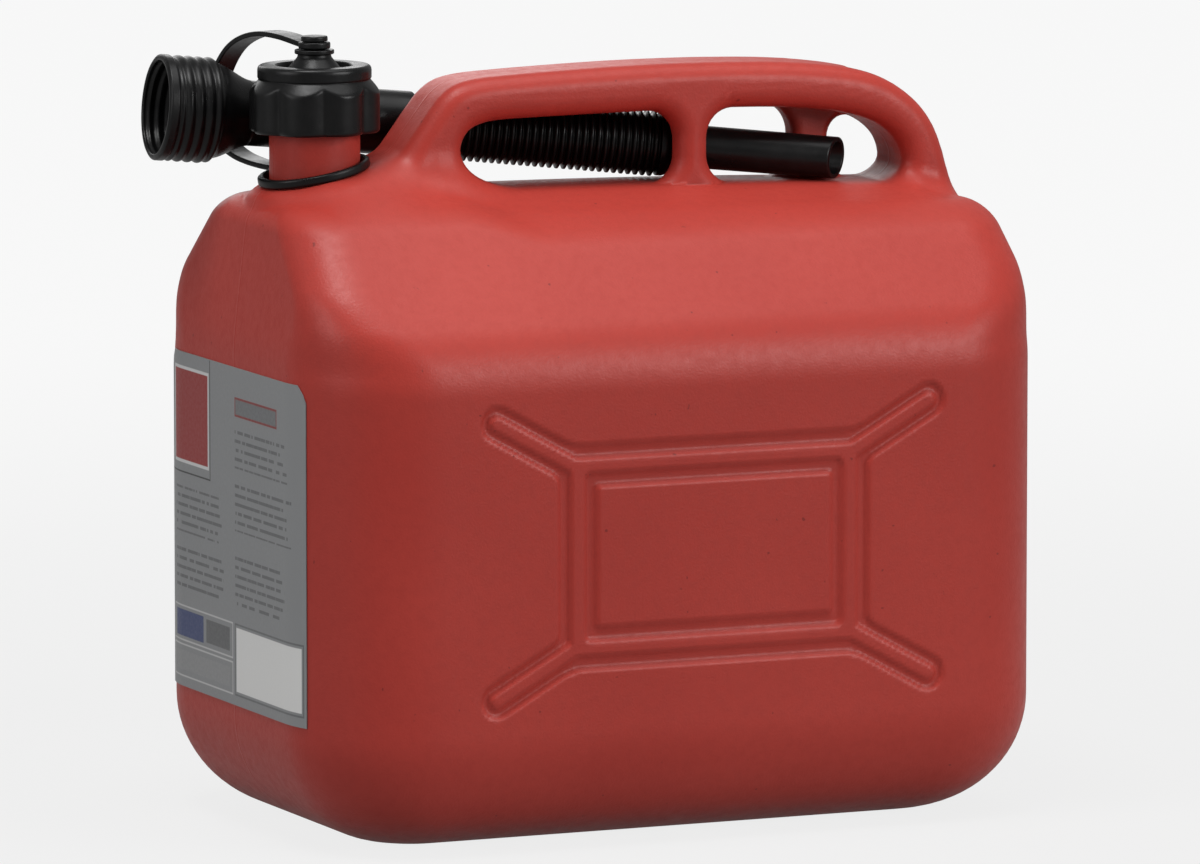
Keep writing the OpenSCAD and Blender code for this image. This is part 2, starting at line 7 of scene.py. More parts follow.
# %% The frame
import bmesh
import bpy
import numpy as np
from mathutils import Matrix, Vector


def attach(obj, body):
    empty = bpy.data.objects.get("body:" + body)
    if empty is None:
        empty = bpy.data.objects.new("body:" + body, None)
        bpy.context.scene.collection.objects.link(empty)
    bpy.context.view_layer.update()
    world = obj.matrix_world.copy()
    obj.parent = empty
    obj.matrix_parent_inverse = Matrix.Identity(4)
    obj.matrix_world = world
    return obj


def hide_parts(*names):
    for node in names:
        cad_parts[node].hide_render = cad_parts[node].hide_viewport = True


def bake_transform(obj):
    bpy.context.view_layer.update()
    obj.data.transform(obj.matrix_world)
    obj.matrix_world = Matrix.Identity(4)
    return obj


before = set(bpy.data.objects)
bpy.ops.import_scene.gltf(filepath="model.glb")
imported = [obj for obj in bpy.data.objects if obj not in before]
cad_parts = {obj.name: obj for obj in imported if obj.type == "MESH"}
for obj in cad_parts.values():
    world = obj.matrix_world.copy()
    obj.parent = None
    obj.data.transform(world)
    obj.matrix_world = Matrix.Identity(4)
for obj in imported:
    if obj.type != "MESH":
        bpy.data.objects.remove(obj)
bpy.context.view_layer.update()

MM = 0.001
TAU = 2 * np.pi
scene = bpy.context.scene

# %% [markdown]
# ## Camera
# The photograph was taken from the neck end, a little above the can, with a very long lens. The
# camera goes there first, because every judgement of shape and gloss depends on it.

# %% Camera
EYE, AIM = (-1814.5, -4074.6, 738.0), (-0.35, 0.15, 142.8)
SENSOR, FOCAL_PIXELS, PICTURE_PIXELS = 36.0, 11889.0, 1200.0


def facing(place, target):
    """Turn of a camera or lamp at a place that looks at a target."""
    return (Vector(target) - Vector(place)).to_track_quat("-Z", "Y").to_euler()


camera_data = bpy.data.cameras.new("camera")
camera_data.sensor_width = SENSOR
camera_data.lens = SENSOR * FOCAL_PIXELS / PICTURE_PIXELS
camera = bpy.data.objects.new("camera", camera_data)
camera.location = Vector(EYE) * MM
camera.rotation_euler = facing(Vector(EYE) * MM, Vector(AIM) * MM)
scene.collection.objects.link(camera)
scene.camera = camera

# %% [markdown]
# ## From arrays to meshes
# A shape on a grid needs only its points: the faces follow from the row and column numbers. One
# helper makes that list of faces, and one puts points and faces into a Blender mesh. Normals that
# come from the formula are stored too, so that large soft forms shade without any faceting.

# %% Mesh helpers
def grid_faces(rows, cols, wrap_rows=False, wrap_cols=False):
    """Quads of a rows x cols grid: each goes from a point along, up and back."""
    i, j = np.meshgrid(
        np.arange(rows - (not wrap_rows)), np.arange(cols - (not wrap_cols)), indexing="ij")
    i2, j2 = (i + 1) % rows, (j + 1) % cols
    return np.stack([i * cols + j, i * cols + j2, i2 * cols + j2, i2 * cols + j], -1).reshape(-1, 4)


def ring_faces(points, wrap_rows=True):
    """Faces of a grid whose rows are rings; the last row joins the first if rows wrap."""
    return [grid_faces(*points.shape[:2], wrap_rows=wrap_rows, wrap_cols=True)]


def piece(name, points, faces, finish, body, stands_for=(), normals=None, uv=None, weld=0.0):
    """A mesh object that rides on a body; points in mm, faces as a list of arrays."""
    mesh = bpy.data.meshes.new(name)
    face_list = [face for part in faces for face in part.tolist()]
    mesh.from_pydata((points.reshape(-1, 3) * MM).tolist(), [], face_list)
    if uv is not None:
        corner = np.zeros(len(mesh.loops), np.int32)
        mesh.loops.foreach_get("vertex_index", corner)
        corner_uv = uv[corner].astype(np.float32)
        mesh.uv_layers.new(name="flat").data.foreach_set("uv", corner_uv.ravel())
    mesh.polygons.foreach_set("use_smooth", np.ones(len(mesh.polygons), bool))
    if weld:
        work = bmesh.new()
        work.from_mesh(mesh)
        bmesh.ops.remove_doubles(work, verts=work.verts, dist=weld * MM)
        work.to_mesh(mesh)
        work.free()
    mesh.validate()
    if normals is not None:
        mesh.normals_split_custom_set_from_vertices(normals.tolist())
    mesh.materials.append(finish)
    obj = bpy.data.objects.new(name, mesh)
    scene.collection.objects.link(obj)
    if body:
        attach(obj, body)
    if stands_for:
        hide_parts(*stands_for)
    print(name, len(mesh.vertices), "points")
    return obj

# %% [markdown]
# ## Two plastics, a rubber and a printed film
# The shell is red polyethylene with a fine moulded grain, a waxy gloss and faint clouding. The cap
# and the spout are black polyethylene, a little glossier and slightly dusty. The patterns of the
# plastics read Object coordinates, so they keep their real size on every piece.

# %% Material helpers
def new_material(name, specular=0.5):
    """A node material, with its tree and its Principled shader."""
    material = bpy.data.materials.new(name)
    material.use_nodes = True
    tree = material.node_tree
    shader = tree.nodes["Principled BSDF"]
    shader.inputs["Specular IOR Level"].default_value = specular
    return material, tree, shader


def add(tree, kind, links=(), **values):
    """A node with named input values, plus links given as (input, output socket)."""
    node = tree.nodes.new(kind)
    for key, value in values.items():
        if key in node.inputs:
            node.inputs[key].default_value = value
        else:
            setattr(node, key, value)
    for key, socket in links:
        tree.links.new(socket, node.inputs[key])
    return node


def object_place(tree):
    """Place on the piece, in metres."""
    return add(tree, "ShaderNodeTexCoord").outputs["Object"]


def noise(tree, where, scale, detail=3.0, rough=0.5):
    """Noise with so many cells per unit of the place that it reads."""
    node = add(tree, "ShaderNodeTexNoise", [("Vector", where)],
               Scale=scale, Detail=detail, Roughness=rough)
    return node.outputs["Fac"]


def ramp(tree, value, low, high, to_low=0.0, to_high=1.0):
    """A value mapped from low..high to to_low..to_high, clamped and smooth."""
    node = add(tree, "ShaderNodeMapRange", [("Value", value)], interpolation_type="SMOOTHSTEP",
               **{"From Min": low, "From Max": high, "To Min": to_low, "To Max": to_high})
    return node.outputs["Result"]


def mix(tree, share, a, b):
    """Two colours mixed by a share; a or b may be a socket or a colour."""
    node = tree.nodes.new("ShaderNodeMix")
    node.data_type = "RGBA"
    tree.links.new(share, node.inputs["Factor"])
    for key, v in ((6, a), (7, b)):
        if isinstance(v, bpy.types.NodeSocket):
            tree.links.new(v, node.inputs[key])
        else:
            node.inputs[key].default_value = (*v, 1.0)
    return node.outputs[2]


def calc(tree, op, *values):
    """One step of arithmetic on sockets or numbers."""
    node = tree.nodes.new("ShaderNodeMath")
    node.operation = op
    for k, v in enumerate(values):
        if isinstance(v, bpy.types.NodeSocket):
            tree.links.new(v, node.inputs[k])
        else:
            node.inputs[k].default_value = v
    return node.outputs[0]


def dress(tree, shader, colour, roughness, height, strength, depth):
    """Colour and roughness of a shader, and a bump of a given strength and depth in metres."""
    bump = add(tree, "ShaderNodeBump", [("Height", height)], Strength=strength, Distance=depth)
    sockets = {"Base Color": colour, "Roughness": roughness, "Normal": bump.outputs["Normal"]}
    for key, socket in sockets.items():
        tree.links.new(socket, shader.inputs[key])

# %% Red polyethylene
RED_LOW, RED_HIGH = (0.385, 0.038, 0.028), (0.425, 0.045, 0.033)
RED_FINE, RED_SPECK = (0.31, 0.030, 0.022), (0.10, 0.012, 0.012)


def red_plastic():
    """Waxy red: clouds, a few dark specks, fine grain and a line where the mould closes."""
    material, tree, shader = new_material("red_polyethylene", 0.25)
    where = object_place(tree)
    cloud = noise(tree, where, 9.0, 4.0)
    fine = noise(tree, where, 260.0, 4.0, 0.65)
    grain = noise(tree, where, 1150.0, 2.0)
    specks = noise(tree, where, 330.0, 1.0)
    colour = mix(tree, ramp(tree, cloud, 0.3, 0.7), RED_LOW, RED_HIGH)
    colour = mix(tree, ramp(tree, fine, 0.35, 0.75, 0.0, 0.28), colour, RED_FINE)
    colour = mix(tree, ramp(tree, specks, 0.775, 0.82, 0.0, 0.55), colour, RED_SPECK)
    split = add(tree, "ShaderNodeSeparateXYZ", [("Vector", where)])
    seam = ramp(tree, calc(tree, "ABSOLUTE", split.outputs["Y"]), 0.0002, 0.0007, 1.0, 0.0)
    height = calc(tree, "ADD", calc(tree, "MULTIPLY", grain, 0.8), calc(tree, "MULTIPLY", fine, 0.5))
    height = calc(tree, "ADD", height, calc(tree, "MULTIPLY", seam, 0.9))
    dress(tree, shader, colour, ramp(tree, fine, 0.25, 0.8, 0.36, 0.47), height, 0.40, 0.00025)
    return material

# %% Black polyethylene and rubber
def black_plastic(name, dark, dusty, gloss):
    """Near-black colour with a little dust, uneven gloss and a soft orange peel."""
    material, tree, shader = new_material(name, 0.22)
    where = object_place(tree)
    dust = noise(tree, where, 60.0, 5.0, 0.7)
    peel = noise(tree, where, 620.0, 3.0)
    colour = mix(tree, ramp(tree, dust, 0.45, 0.8, 0.0, 0.5),
                 (dark, dark, dark * 1.05), (dusty, dusty, dusty * 1.02))
    dress(tree, shader, colour, ramp(tree, dust, 0.3, 0.75, gloss, gloss + 0.16), peel, 0.22, 0.00015)
    return material


red = red_plastic()
black = black_plastic("black_polyethylene", 0.004, 0.009, 0.26)
rubber = black_plastic("seal_rubber", 0.008, 0.018, 0.62)

# %% [markdown]
# ## The lower shell
# Below the shoulder the tank is a rounded rectangle that tucks in under a large round edge. A grid
# of columns round and rows up gives it directly, with fine spacing where the sunk frame lies on the
# broad faces. The frame is two soft channels round a bare panel. The outer one has an arm at each
# corner, with a raised rib along its middle.

# %% Sizes of the tank
HALF_L, HALF_W, CROWN, SEAM = 150.0, 95.0, 229.0, 179.0
EDGE_R, BASE_R = 45.0, 44.0
FLAT_X, FLAT_Y = HALF_L - EDGE_R, HALF_W - EDGE_R
# Each wall: height where it starts to bend, the bend's radius, the lean above it
END_WALL, SIDE_WALL = (179.0, 100.0, np.radians(6.6)), (171.5, 36.0, np.radians(45.0))
# The frame: its middle and depth, the ends of an arm, and the grid's spacing there
PANEL_X, PANEL_Z, FRAME_DEPTH = 4.0, 110.0, 1.4
ARM = (53.0, 32.2, 88.0, 51.65)
FINE = 1.2

# %% Flat outlines and fillets
def leaning_wall(z, start, radius, lean):
    """How far a wall stands in at a height, and its slope there: upright, then an arc, then a lean."""
    dz = np.maximum(z - start, 0)
    arc = np.minimum(dz, radius * np.sin(lean))
    rest = np.sqrt(radius ** 2 - arc ** 2)
    return radius - rest + (dz - arc) * np.tan(lean), arc / rest


def soft_step(d, width):
    """0 to 1 as d goes from 0 to width, with a smooth start and end."""
    t = np.clip(d / width, 0, 1)
    return t * t * (3 - 2 * t)


def box_2d(x, z, half_x, half_z, r):
    """Distance to a rectangle with corners of radius r, negative inside."""
    qx, qz = np.abs(x) - half_x + r, np.abs(z) - half_z + r
    return np.hypot(np.maximum(qx, 0), np.maximum(qz, 0)) + np.minimum(np.maximum(qx, qz), 0) - r


def from_line(x, z, ax, az, bx, bz):
    """Offset, along and up, from the nearest place on a straight line between two points."""
    t = ((x - ax) * (bx - ax) + (z - az) * (bz - az)) / ((bx - ax) ** 2 + (bz - az) ** 2)
    t = np.clip(t, 0, 1)
    return x - ax - t * (bx - ax), z - az - t * (bz - az)


def round_or(a, b, r):
    """Union of two distances with a round fillet of radius r in the inside corner."""
    u, v = np.maximum(r - a, 0), np.maximum(r - b, 0)
    return np.maximum(r, np.minimum(a, b)) - np.hypot(u, v)


def round_and(a, b, r):
    """Intersection of two distances with a round edge of radius r."""
    u, v = np.maximum(r + a, 0), np.maximum(r + b, 0)
    return np.minimum(-r, np.maximum(a, b)) + np.hypot(u, v)


def smooth_max(a, b, width):
    """The greater of two heights, with a soft change between them."""
    return 0.5 * (a + b + np.hypot(a - b, width))


def channel(outer, inner, inner_side):
    """1 between two nested outlines and 0 elsewhere, with sloping sides."""
    return soft_step(-outer + 0.3, 1.6) * soft_step(inner + 0.3, inner_side)


def sunk_frame(x, z):
    """Depth of the frame: a channel with arms, and one round the panel."""
    x, z = x - PANEL_X, z - PANEL_Z
    arm = np.hypot(*from_line(np.abs(x), np.abs(z), *ARM))
    outer = round_or(box_2d(x, z, 63.5, 42.25, 2.5), arm - 6.6, 2.0)
    inner = round_or(box_2d(x, z, 58.0, 36.75, 2.0), arm - 2.5, 1.0)
    first = channel(outer, inner, 1.6)
    second = channel(box_2d(x, z, 53.0, 31.75, 3.0), box_2d(x, z, 47.5, 26.25, 0.6), 1.5)
    return FRAME_DEPTH * np.maximum(first, second)

# %% Lower grid
def lower_shell():
    """Rings of a rounded rectangle from the base to the shoulder, less the frame."""
    fine = np.arange(-91.0, 98.9, FINE)
    broad = np.hstack([np.linspace(-FLAT_X, fine[0], 5), fine, np.linspace(fine[-1], FLAT_X, 5)])
    broad = np.unique(broad.round(4)) / FLAT_X
    narrow = np.linspace(-1, 1, 13)
    turn = np.linspace(0, 90, 15)[1:-1]
    tuck = np.radians(np.linspace(0, 90, 21))
    z = np.hstack([BASE_R * (1 - np.cos(tuck)), np.arange(46.0, 168.5, FINE),
                   np.linspace(169.5, SEAM, 9)])
    inset = np.hstack([BASE_R * (1 - np.sin(tuck)), np.zeros(len(z) - len(tuck))])[:, None]
    a, r = HALF_L - inset, EDGE_R - 0.76 * inset
    b = HALF_W - inset - leaning_wall(z[:, None], *SIDE_WALL)[0]
    runs = []
    for flat, start, sx, sy in ((broad, 270, 1, -1), (narrow, 0, 1, 1),
                                (broad, 90, -1, 1), (narrow, 180, -1, -1)):
        if flat is broad:
            x, y = -sy * flat * (a - r), sy * b + 0 * flat
        else:
            x, y = sx * a + 0 * flat, sx * flat * (b - r)
        w = np.radians(start + turn)
        runs += [(x, y), (sx * (a - r) + r * np.cos(w), sy * (b - r) + r * np.sin(w))]
    x, y = (np.hstack([run[k] for run in runs]) for k in (0, 1))
    zz = np.repeat(z[:, None], x.shape[1], 1)
    flat_face = (np.abs(x) < FLAT_X) & (np.abs(y) > HALF_W - 0.001)
    y = y - np.sign(y) * np.where(flat_face, sunk_frame(x, zz), 0)
    points = np.stack([x, y, zz], -1)
    du = np.roll(points, -1, 1) - np.roll(points, 1, 1)
    dv = np.gradient(points, axis=0)
    normal = np.cross(du, dv)
    normal /= np.linalg.norm(normal, axis=-1, keepdims=True) + 1e-12
    normal[0] = (0, 0, -1)
    return points, normal


lower, lower_normal = lower_shell()
print("lower shell", lower.shape[:2])

# %% [markdown]
# ## The upper shell
# The shoulder, the handle and the seat of the neck flow into each other, and no single grid fits a
# form with holes through it. So this part is a distance field: each form is a formula that says how
# far a point is from its skin, and fillets come from joining the formulas. The skin is then drawn
# where the field is zero.

# %% Shoulder and sill as fields
FRONT, REAR, SILL, SILL_FALL = -75.0, 130.2, 238.8, 5.6
HANDLE_HALF, HANDLE_EDGE = 17.0, 7.5
# The corner's radius shrinks by this much over this height above the seam
CORNER_LOSS, CORNER_RISE = 22.0, 31.0


def sill_height(x):
    """Height of the sill under the handle: it falls in a curve and dies away past both columns."""
    t = (np.clip(x, FRONT, REAR - 10) - FRONT) / (REAR - FRONT)
    ahead, behind = np.maximum(FRONT - x, 0), np.maximum(x - REAR + 10, 0)
    return SILL - SILL_FALL * t ** 2 - 0.49 * ahead - 0.40 * behind


def roof(x, y):
    """Height of the tank's top: the sill and its sloping sides, a rise by the neck, or the crown."""
    top = sill_height(x)
    side_slope = np.maximum(top - CROWN + 2, 0.1) / 36
    h = top - side_slope * smooth_max(np.abs(y) - HANDLE_HALF, 0, 3.0) - CROWN
    by_neck = 8.5 - 12 * soft_step(x + 80, 50.0)
    return CROWN + smooth_max(smooth_max(h, by_neck, 2.5), 0, 1.5)


def tank_field(x, y, z):
    """A rounded rectangle at each height, as far in as the walls lean, closed by the roof."""
    (end_in, end_slope), (side_in, side_slope) = (leaning_wall(z, *w) for w in (END_WALL, SIDE_WALL))
    r = EDGE_R - CORNER_LOSS * soft_step(z - SEAM, CORNER_RISE)
    qx, qy = np.abs(x) - HALF_L + end_in + r, np.abs(y) - HALF_W + side_in + r
    px, py = np.maximum(qx, 0), np.maximum(qy, 0)
    walls = np.hypot(px, py) + np.minimum(np.maximum(qx, qy), 0) - r
    share = np.where(px + py > 0, py ** 2 / np.maximum(px ** 2 + py ** 2, 1e-9), qy > qx)
    walls = walls / np.sqrt(1 + (end_slope + (side_slope - end_slope) * share) ** 2)
    return round_and(walls, 0.96 * (z - roof(x, y)), 9.0)

# %% [markdown]
# ## The handle's outline
# Seen from the front the handle is a flat outline: a bar that bends down into a stout front column
# and a slim rear one. Points along its outer and its inner side are joined by smooth curves, and a
# table holds the distance to that outline. Width and round edges come after, when the table is read
# in space.

# %% Handle outline
OUTER_SIDE = np.array([
    [-107, 222], [-101, 235], [-95, 244], [-88.7, 251.5], [-81.5, 260.8], [-75, 269.3], [-70, 275],
    [-64, 278.8], [-55, 280.7], [-40, 281.6], [-20, 282.3], [0, 282.8], [20, 283], [45, 282.7],
    [70, 281.7], [90, 279.7], [103, 277.2], [113, 273.6], [121.5, 268.4], [128.5, 262],
    [133.6, 254.5], [137, 246], [139.2, 238.5], [142, 231], [147, 222]])
INNER_SIDE = np.array([
    [117, 222], [119.5, 234], [120.6, 241], [119.4, 247], [115.8, 252.3], [109.5, 256.8], [101, 260],
    [90, 262.3], [70, 264.4], [40, 265.3], [0, 265.2], [-30, 264.9], [-46, 264.6], [-53.5, 263.6],
    [-59, 261.2], [-62, 257], [-62.7, 252], [-61.2, 246], [-57, 240.5], [-51, 236.5], [-45, 232],
    [-42, 222]])
TABLE_STEP = 0.5
TABLE_X, TABLE_Z = np.arange(-125.0, 165.1, TABLE_STEP), np.arange(205.0, 297.1, TABLE_STEP)


def smooth_through(stations, step):
    """A smooth curve through the stations in even rows: the way along it, and the points."""
    first, last = 2 * stations[:1] - stations[1:2], 2 * stations[-1:] - stations[-2:-1]
    padded = np.vstack([first, stations, last])
    t = np.linspace(0, 1, 40, endpoint=False)[None, :, None]
    a, b, c, d = (padded[k:len(padded) - 3 + k, None] for k in range(4))
    rows = b + 0.5 * t * (c - a + t * (2 * a - 5 * b + 4 * c - d + t * (3 * (b - c) + d - a)))
    rows = np.vstack([rows.reshape(-1, stations.shape[1]), stations[-1:]])
    run = np.hstack([[0], np.cumsum(np.hypot(*np.diff(rows[:, :2], axis=0).T))])
    even = np.arange(0, run[-1], step)
    return even, np.stack([np.interp(even, run, column) for column in rows.T], 1)


def distance_table(outline):
    """Distance from each table point to a closed outline, negative inside it."""
    gx, gz = np.meshgrid(TABLE_X, TABLE_Z, indexing="ij")
    nearest, inside = np.full(gx.shape, 1e9), np.zeros(gx.shape, bool)
    for (ax, az), (bx, bz) in zip(outline, np.roll(outline, -1, 0)):
        dx, dz = from_line(gx, gz, ax, az, bx, bz)
        nearest = np.minimum(nearest, dx ** 2 + dz ** 2)
        crossing = gx < ax + (gz - az) / (bz - az + 1e-12) * (bx - ax)
        inside ^= ((az > gz) != (bz > gz)) & crossing
    return np.where(inside, -1, 1) * np.sqrt(nearest)


handle_outline = np.vstack([smooth_through(side, 1.0)[1] for side in (OUTER_SIDE, INNER_SIDE)])
handle_table = distance_table(handle_outline)


def cubic_weights(t):
    """Shares of four table rows at a place t of the way from the second to the third."""
    return (-0.5 * t + t * t - 0.5 * t ** 3, 1 - 2.5 * t * t + 1.5 * t ** 3,
            0.5 * t + 2 * t * t - 1.5 * t ** 3, -0.5 * t * t + 0.5 * t ** 3)


def outline_field(x, z):
    """The table read between its points with a cubic each way; beyond it the way back is added."""
    cx, cz = np.clip(x, TABLE_X[2], TABLE_X[-3]), np.clip(z, TABLE_Z[2], TABLE_Z[-3])
    i, j = (cx - TABLE_X[0]) / TABLE_STEP, (cz - TABLE_Z[0]) / TABLE_STEP
    i0, j0 = np.floor(i).astype(int), np.floor(j).astype(int)
    along, up = cubic_weights(i - i0), cubic_weights(j - j0)
    value = sum(along[a] * up[b] * handle_table[i0 + a - 1, j0 + b - 1]
                for a in range(4) for b in range(4))
    return value + np.abs(x - cx) + np.abs(z - cz)

# %% Pillars, seat and the whole upper field
NECK_X, SEAT_Z, SEAT_R, SEAT_TILT = -117.0, 245.5, 23.5, np.radians(11.0)
SEAT_UP = np.array([-np.sin(SEAT_TILT), 0, np.cos(SEAT_TILT)])
PASSAGE_R, PASSAGE_Z = 14.4, 205.0
# Each pillar: place and half width along X, front and back in Y, radius of the edges there
PILLARS = ((32.0, 6.5, -HANDLE_HALF, -5.54, HANDLE_EDGE, 4.0),
           (89.2, 7.4, 2.72, HANDLE_HALF, 4.0, HANDLE_EDGE))
PILLAR_TOP, PILLAR_FILLET = 269, 11.0


def post_field(x, y, z, flat, at_x, half, front, back, front_r, back_r):
    """A pillar with wide fillets to handle and sill, kept between two depths in Y."""
    off = np.abs(x - at_x) - half
    drawn = round_or(np.minimum(flat, z - sill_height(x)), np.maximum(off, z - PILLAR_TOP), PILLAR_FILLET)
    drawn = np.maximum(drawn, np.maximum(off - 12, CROWN - z))
    return round_and(round_and(drawn, front - y, front_r), y - back, back_r)


def upper_field(p):
    """All the forms joined with fillets, less the passage through the neck."""
    x, y, z = p
    flat = outline_field(x, z)
    handle = round_and(flat, np.abs(y) - HANDLE_HALF, HANDLE_EDGE)
    inward = HALF_L - leaning_wall(z, *END_WALL)[0] - np.abs(x)
    fillet = 1.5 + (7.5 + 8 * soft_step(-40 - x, 30.0)) * soft_step(inward + 2, 14.0)
    whole = round_or(tank_field(x, y, z), handle, fillet)
    for pillar in PILLARS:
        whole = np.minimum(whole, post_field(x, y, z, flat, *pillar))
    up = (x - NECK_X) * SEAT_UP[0] + (z - SEAT_Z) * SEAT_UP[2]
    out = np.sqrt(np.maximum((x - NECK_X) ** 2 + y ** 2 + (z - SEAT_Z) ** 2 - up ** 2, 0))
    cone = 0.74 * (out - SEAT_R + 0.909 * np.maximum(up, -16))
    seat = round_and(np.maximum(round_and(cone, up, 3.0), -up - 30), -inward, 6.0)
    whole = round_or(whole, seat, 0.5 + 10.5 * soft_step(inward - 3, 22.0))
    return np.maximum(whole, np.minimum(PASSAGE_R - np.hypot(x - NECK_X, y), z - PASSAGE_Z))


def slope_at(p, step=0.04):
    """Slope of the upper field at points p, from small steps each way."""
    grad = np.empty_like(p)
    for axis in range(3):
        move = np.zeros((3, 1))
        move[axis] = step
        grad[axis] = (upper_field(p + move) - upper_field(p - move)) / (2 * step)
    return grad

# %% [markdown]
# ## Drawing the skin of a field
# Space is cut into small cubes. Each cube that the skin crosses gets one point, at the middle of the
# crossings on its edges, and each crossed edge gets one face between the four cubes round it. A few
# steps along the slope then put every point exactly on the skin.

# %% Surface net
def surface_net(field, low, high, cell):
    """Points (3 x n), quads and the cube of each point, for the skin of a field in a box."""
    axes = [np.arange(a, b + cell, cell) for a, b in zip(low, high)]
    grid = np.stack([g.ravel() for g in np.meshgrid(*axes, indexing="ij")])
    value = field(grid).reshape([len(a) for a in axes])
    cubes = tuple(n - 1 for n in value.shape)
    total, count = np.zeros((3, *cubes)), np.zeros(cubes)
    edges = []
    for axis in range(3):
        first, second = [slice(None)] * 3, [slice(None)] * 3
        first[axis], second[axis] = slice(0, -1), slice(1, None)
        va, vb = value[tuple(first)], value[tuple(second)]
        crossed = (va < 0) != (vb < 0)
        t = np.where(crossed, va / np.where(crossed, va - vb, 1), 0)
        o1, o2 = (k for k in range(3) if k != axis)
        for da, db in np.ndindex(2, 2):
            pick = [slice(None)] * 3
            pick[o1], pick[o2] = slice(da, da + cubes[o1]), slice(db, db + cubes[o2])
            hit = crossed[tuple(pick)]
            count += hit
            total[axis] += hit * t[tuple(pick)]
            total[o1] += hit * da
            total[o2] += hit * db
        edges.append((axis, o1, o2, np.argwhere(crossed), va[crossed] < 0))
    used = count > 0
    number = np.full(cubes, -1)
    number[used] = np.arange(used.sum())
    cube = np.argwhere(used)
    points = np.array(low)[:, None] + cell * (cube.T + (total[:, used] / count[used]))
    quads = []
    for axis, o1, o2, at, starts_inside in edges:
        keep = (at[:, o1] > 0) & (at[:, o1] < cubes[o1]) & (at[:, o2] > 0) & (at[:, o2] < cubes[o2])
        at, starts_inside = at[keep], starts_inside[keep]
        ring = []
        for da, db in ((-1, -1), (0, -1), (0, 0), (-1, 0)):
            spot = at.copy()
            spot[:, o1] += da
            spot[:, o2] += db
            ring.append(number[tuple(spot.T)])
        quad = np.stack(ring, 1)
        flip = starts_inside ^ (axis == 1)
        quads.append(np.where(flip[:, None], quad, quad[:, ::-1]))
    return points, np.vstack(quads), cube

# %% Skin of the upper shell
CELL, NET_LOW, NET_HIGH = 1.85, (-152.0, -97.3, SEAM), (152.0, 97.6, 286.0)


def onto_skin(p, rounds, level=False):
    """Points moved along the upper field's slope to its skin; level ones keep their height."""
    for _ in range(rounds):
        slope = slope_at(p)
        if level:
            slope[2] = 0
        step = upper_field(p) * slope / np.maximum((slope ** 2).sum(0), 0.05)
        p = p - np.clip(step, -CELL, CELL)
    return p


upper, upper_quads, upper_cube = surface_net(upper_field, NET_LOW, NET_HIGH, CELL)
# Faces that lie flat in the rim go, with the points that only they used, so the rim is one edge
rim = upper_cube[:, 2] == 0
upper_quads = upper_quads[~rim[upper_quads].all(1)]
used, upper_quads = np.unique(upper_quads, return_inverse=True)
upper_quads = upper_quads.reshape(-1, 4)
upper, rim = onto_skin(upper[:, used], 4), rim[used]
upper[2, rim] = SEAM + CELL / 2
upper[:, rim] = onto_skin(upper[:, rim], 3, level=True)
upper_normal = slope_at(upper)
upper_normal /= np.linalg.norm(upper_normal, axis=0) + 1e-12
print("upper shell", upper.shape[1], "points,", rim.sum(), "on its rim")

# %% [markdown]
# ## One closed shell
# The two halves meet just above the shoulder line. Both rims follow the same rounded rectangle, so a
# point's distance round it says where it lies, and a strip of triangles sews the rims together in
# that order. The flat base is one face.

# %% Sewing the halves
def way_round(x, y):
    """Distance round the rounded rectangle from the left end of its front, for points near it."""
    arc = EDGE_R * np.pi / 2
    w = np.arctan2(y - np.clip(y, -FLAT_Y, FLAT_Y), x - np.clip(x, -FLAT_X, FLAT_X)) / (np.pi / 2)
    front, right = 2 * FLAT_X, 2 * FLAT_X + arc
    back, left = right + 2 * FLAT_Y + arc, right + 2 * FLAT_Y + 2 * arc + 2 * FLAT_X
    front_corner = np.where(x > 0, front + (w + 1) * arc, left + 2 * FLAT_Y + (w + 2) * arc)
    back_corner = np.where(x > 0, right + 2 * FLAT_Y + w * arc, back + 2 * FLAT_X + (w - 1) * arc)
    end = np.where(x > 0, right + y + FLAT_Y, left + FLAT_Y - y)
    return np.select(
        [(np.abs(x) <= FLAT_X) & (y < 0), np.abs(y) <= FLAT_Y, np.abs(x) <= FLAT_X],
        [x + FLAT_X, end, back + FLAT_X - x], np.where(y < 0, front_corner, back_corner))


def rim_loop(quads, rim, s):
    """Points of the open lower edge, in the order in which the faces' edges lead along it."""
    edges = np.stack([quads, np.roll(quads, -1, 1)], -1).reshape(-1, 2)
    leads_to = dict(edges[rim[edges].all(1)].tolist())
    loop = [min(leads_to, key=lambda k: s[k])]
    while leads_to[loop[-1]] != loop[0]:
        loop.append(leads_to[loop[-1]])
    return np.array(loop)


top_row = lower[-1]
top_slope = slope_at(top_row.T)
lower_normal[-1] = (top_slope / np.linalg.norm(top_slope, axis=0)).T
rows, cols = lower.shape[:2]
lower_count = rows * cols
rim_ids = rim_loop(upper_quads, rim, way_round(upper[0], upper[1]))
s_low = way_round(top_row[:, 0], top_row[:, 1])
s_up = np.maximum.accumulate(way_round(upper[0, rim_ids], upper[1, rim_ids]))
order_low = np.argsort(s_low)
s_low = s_low[order_low]
ids_low, ids_up = lower_count - cols + order_low, lower_count + rim_ids
below = np.searchsorted(s_low, s_up, side="left") - 1
above = np.searchsorted(s_up, s_low, side="right") - 1
strip_low = np.stack([np.roll(ids_low, 1), ids_low, ids_up[above]], 1)
strip_up = np.stack([ids_low[below], ids_up, np.roll(ids_up, 1)], 1)
base = np.arange(cols)[None, ::-1]
shell = piece(
    "can_shell", np.vstack([lower.reshape(-1, 3), upper.T]),
    ring_faces(lower, wrap_rows=False) + [upper_quads + lower_count, strip_low, strip_up, base],
    red, "can", ["can_body"],
    normals=np.vstack([lower_normal.reshape(-1, 3), upper_normal.T]))

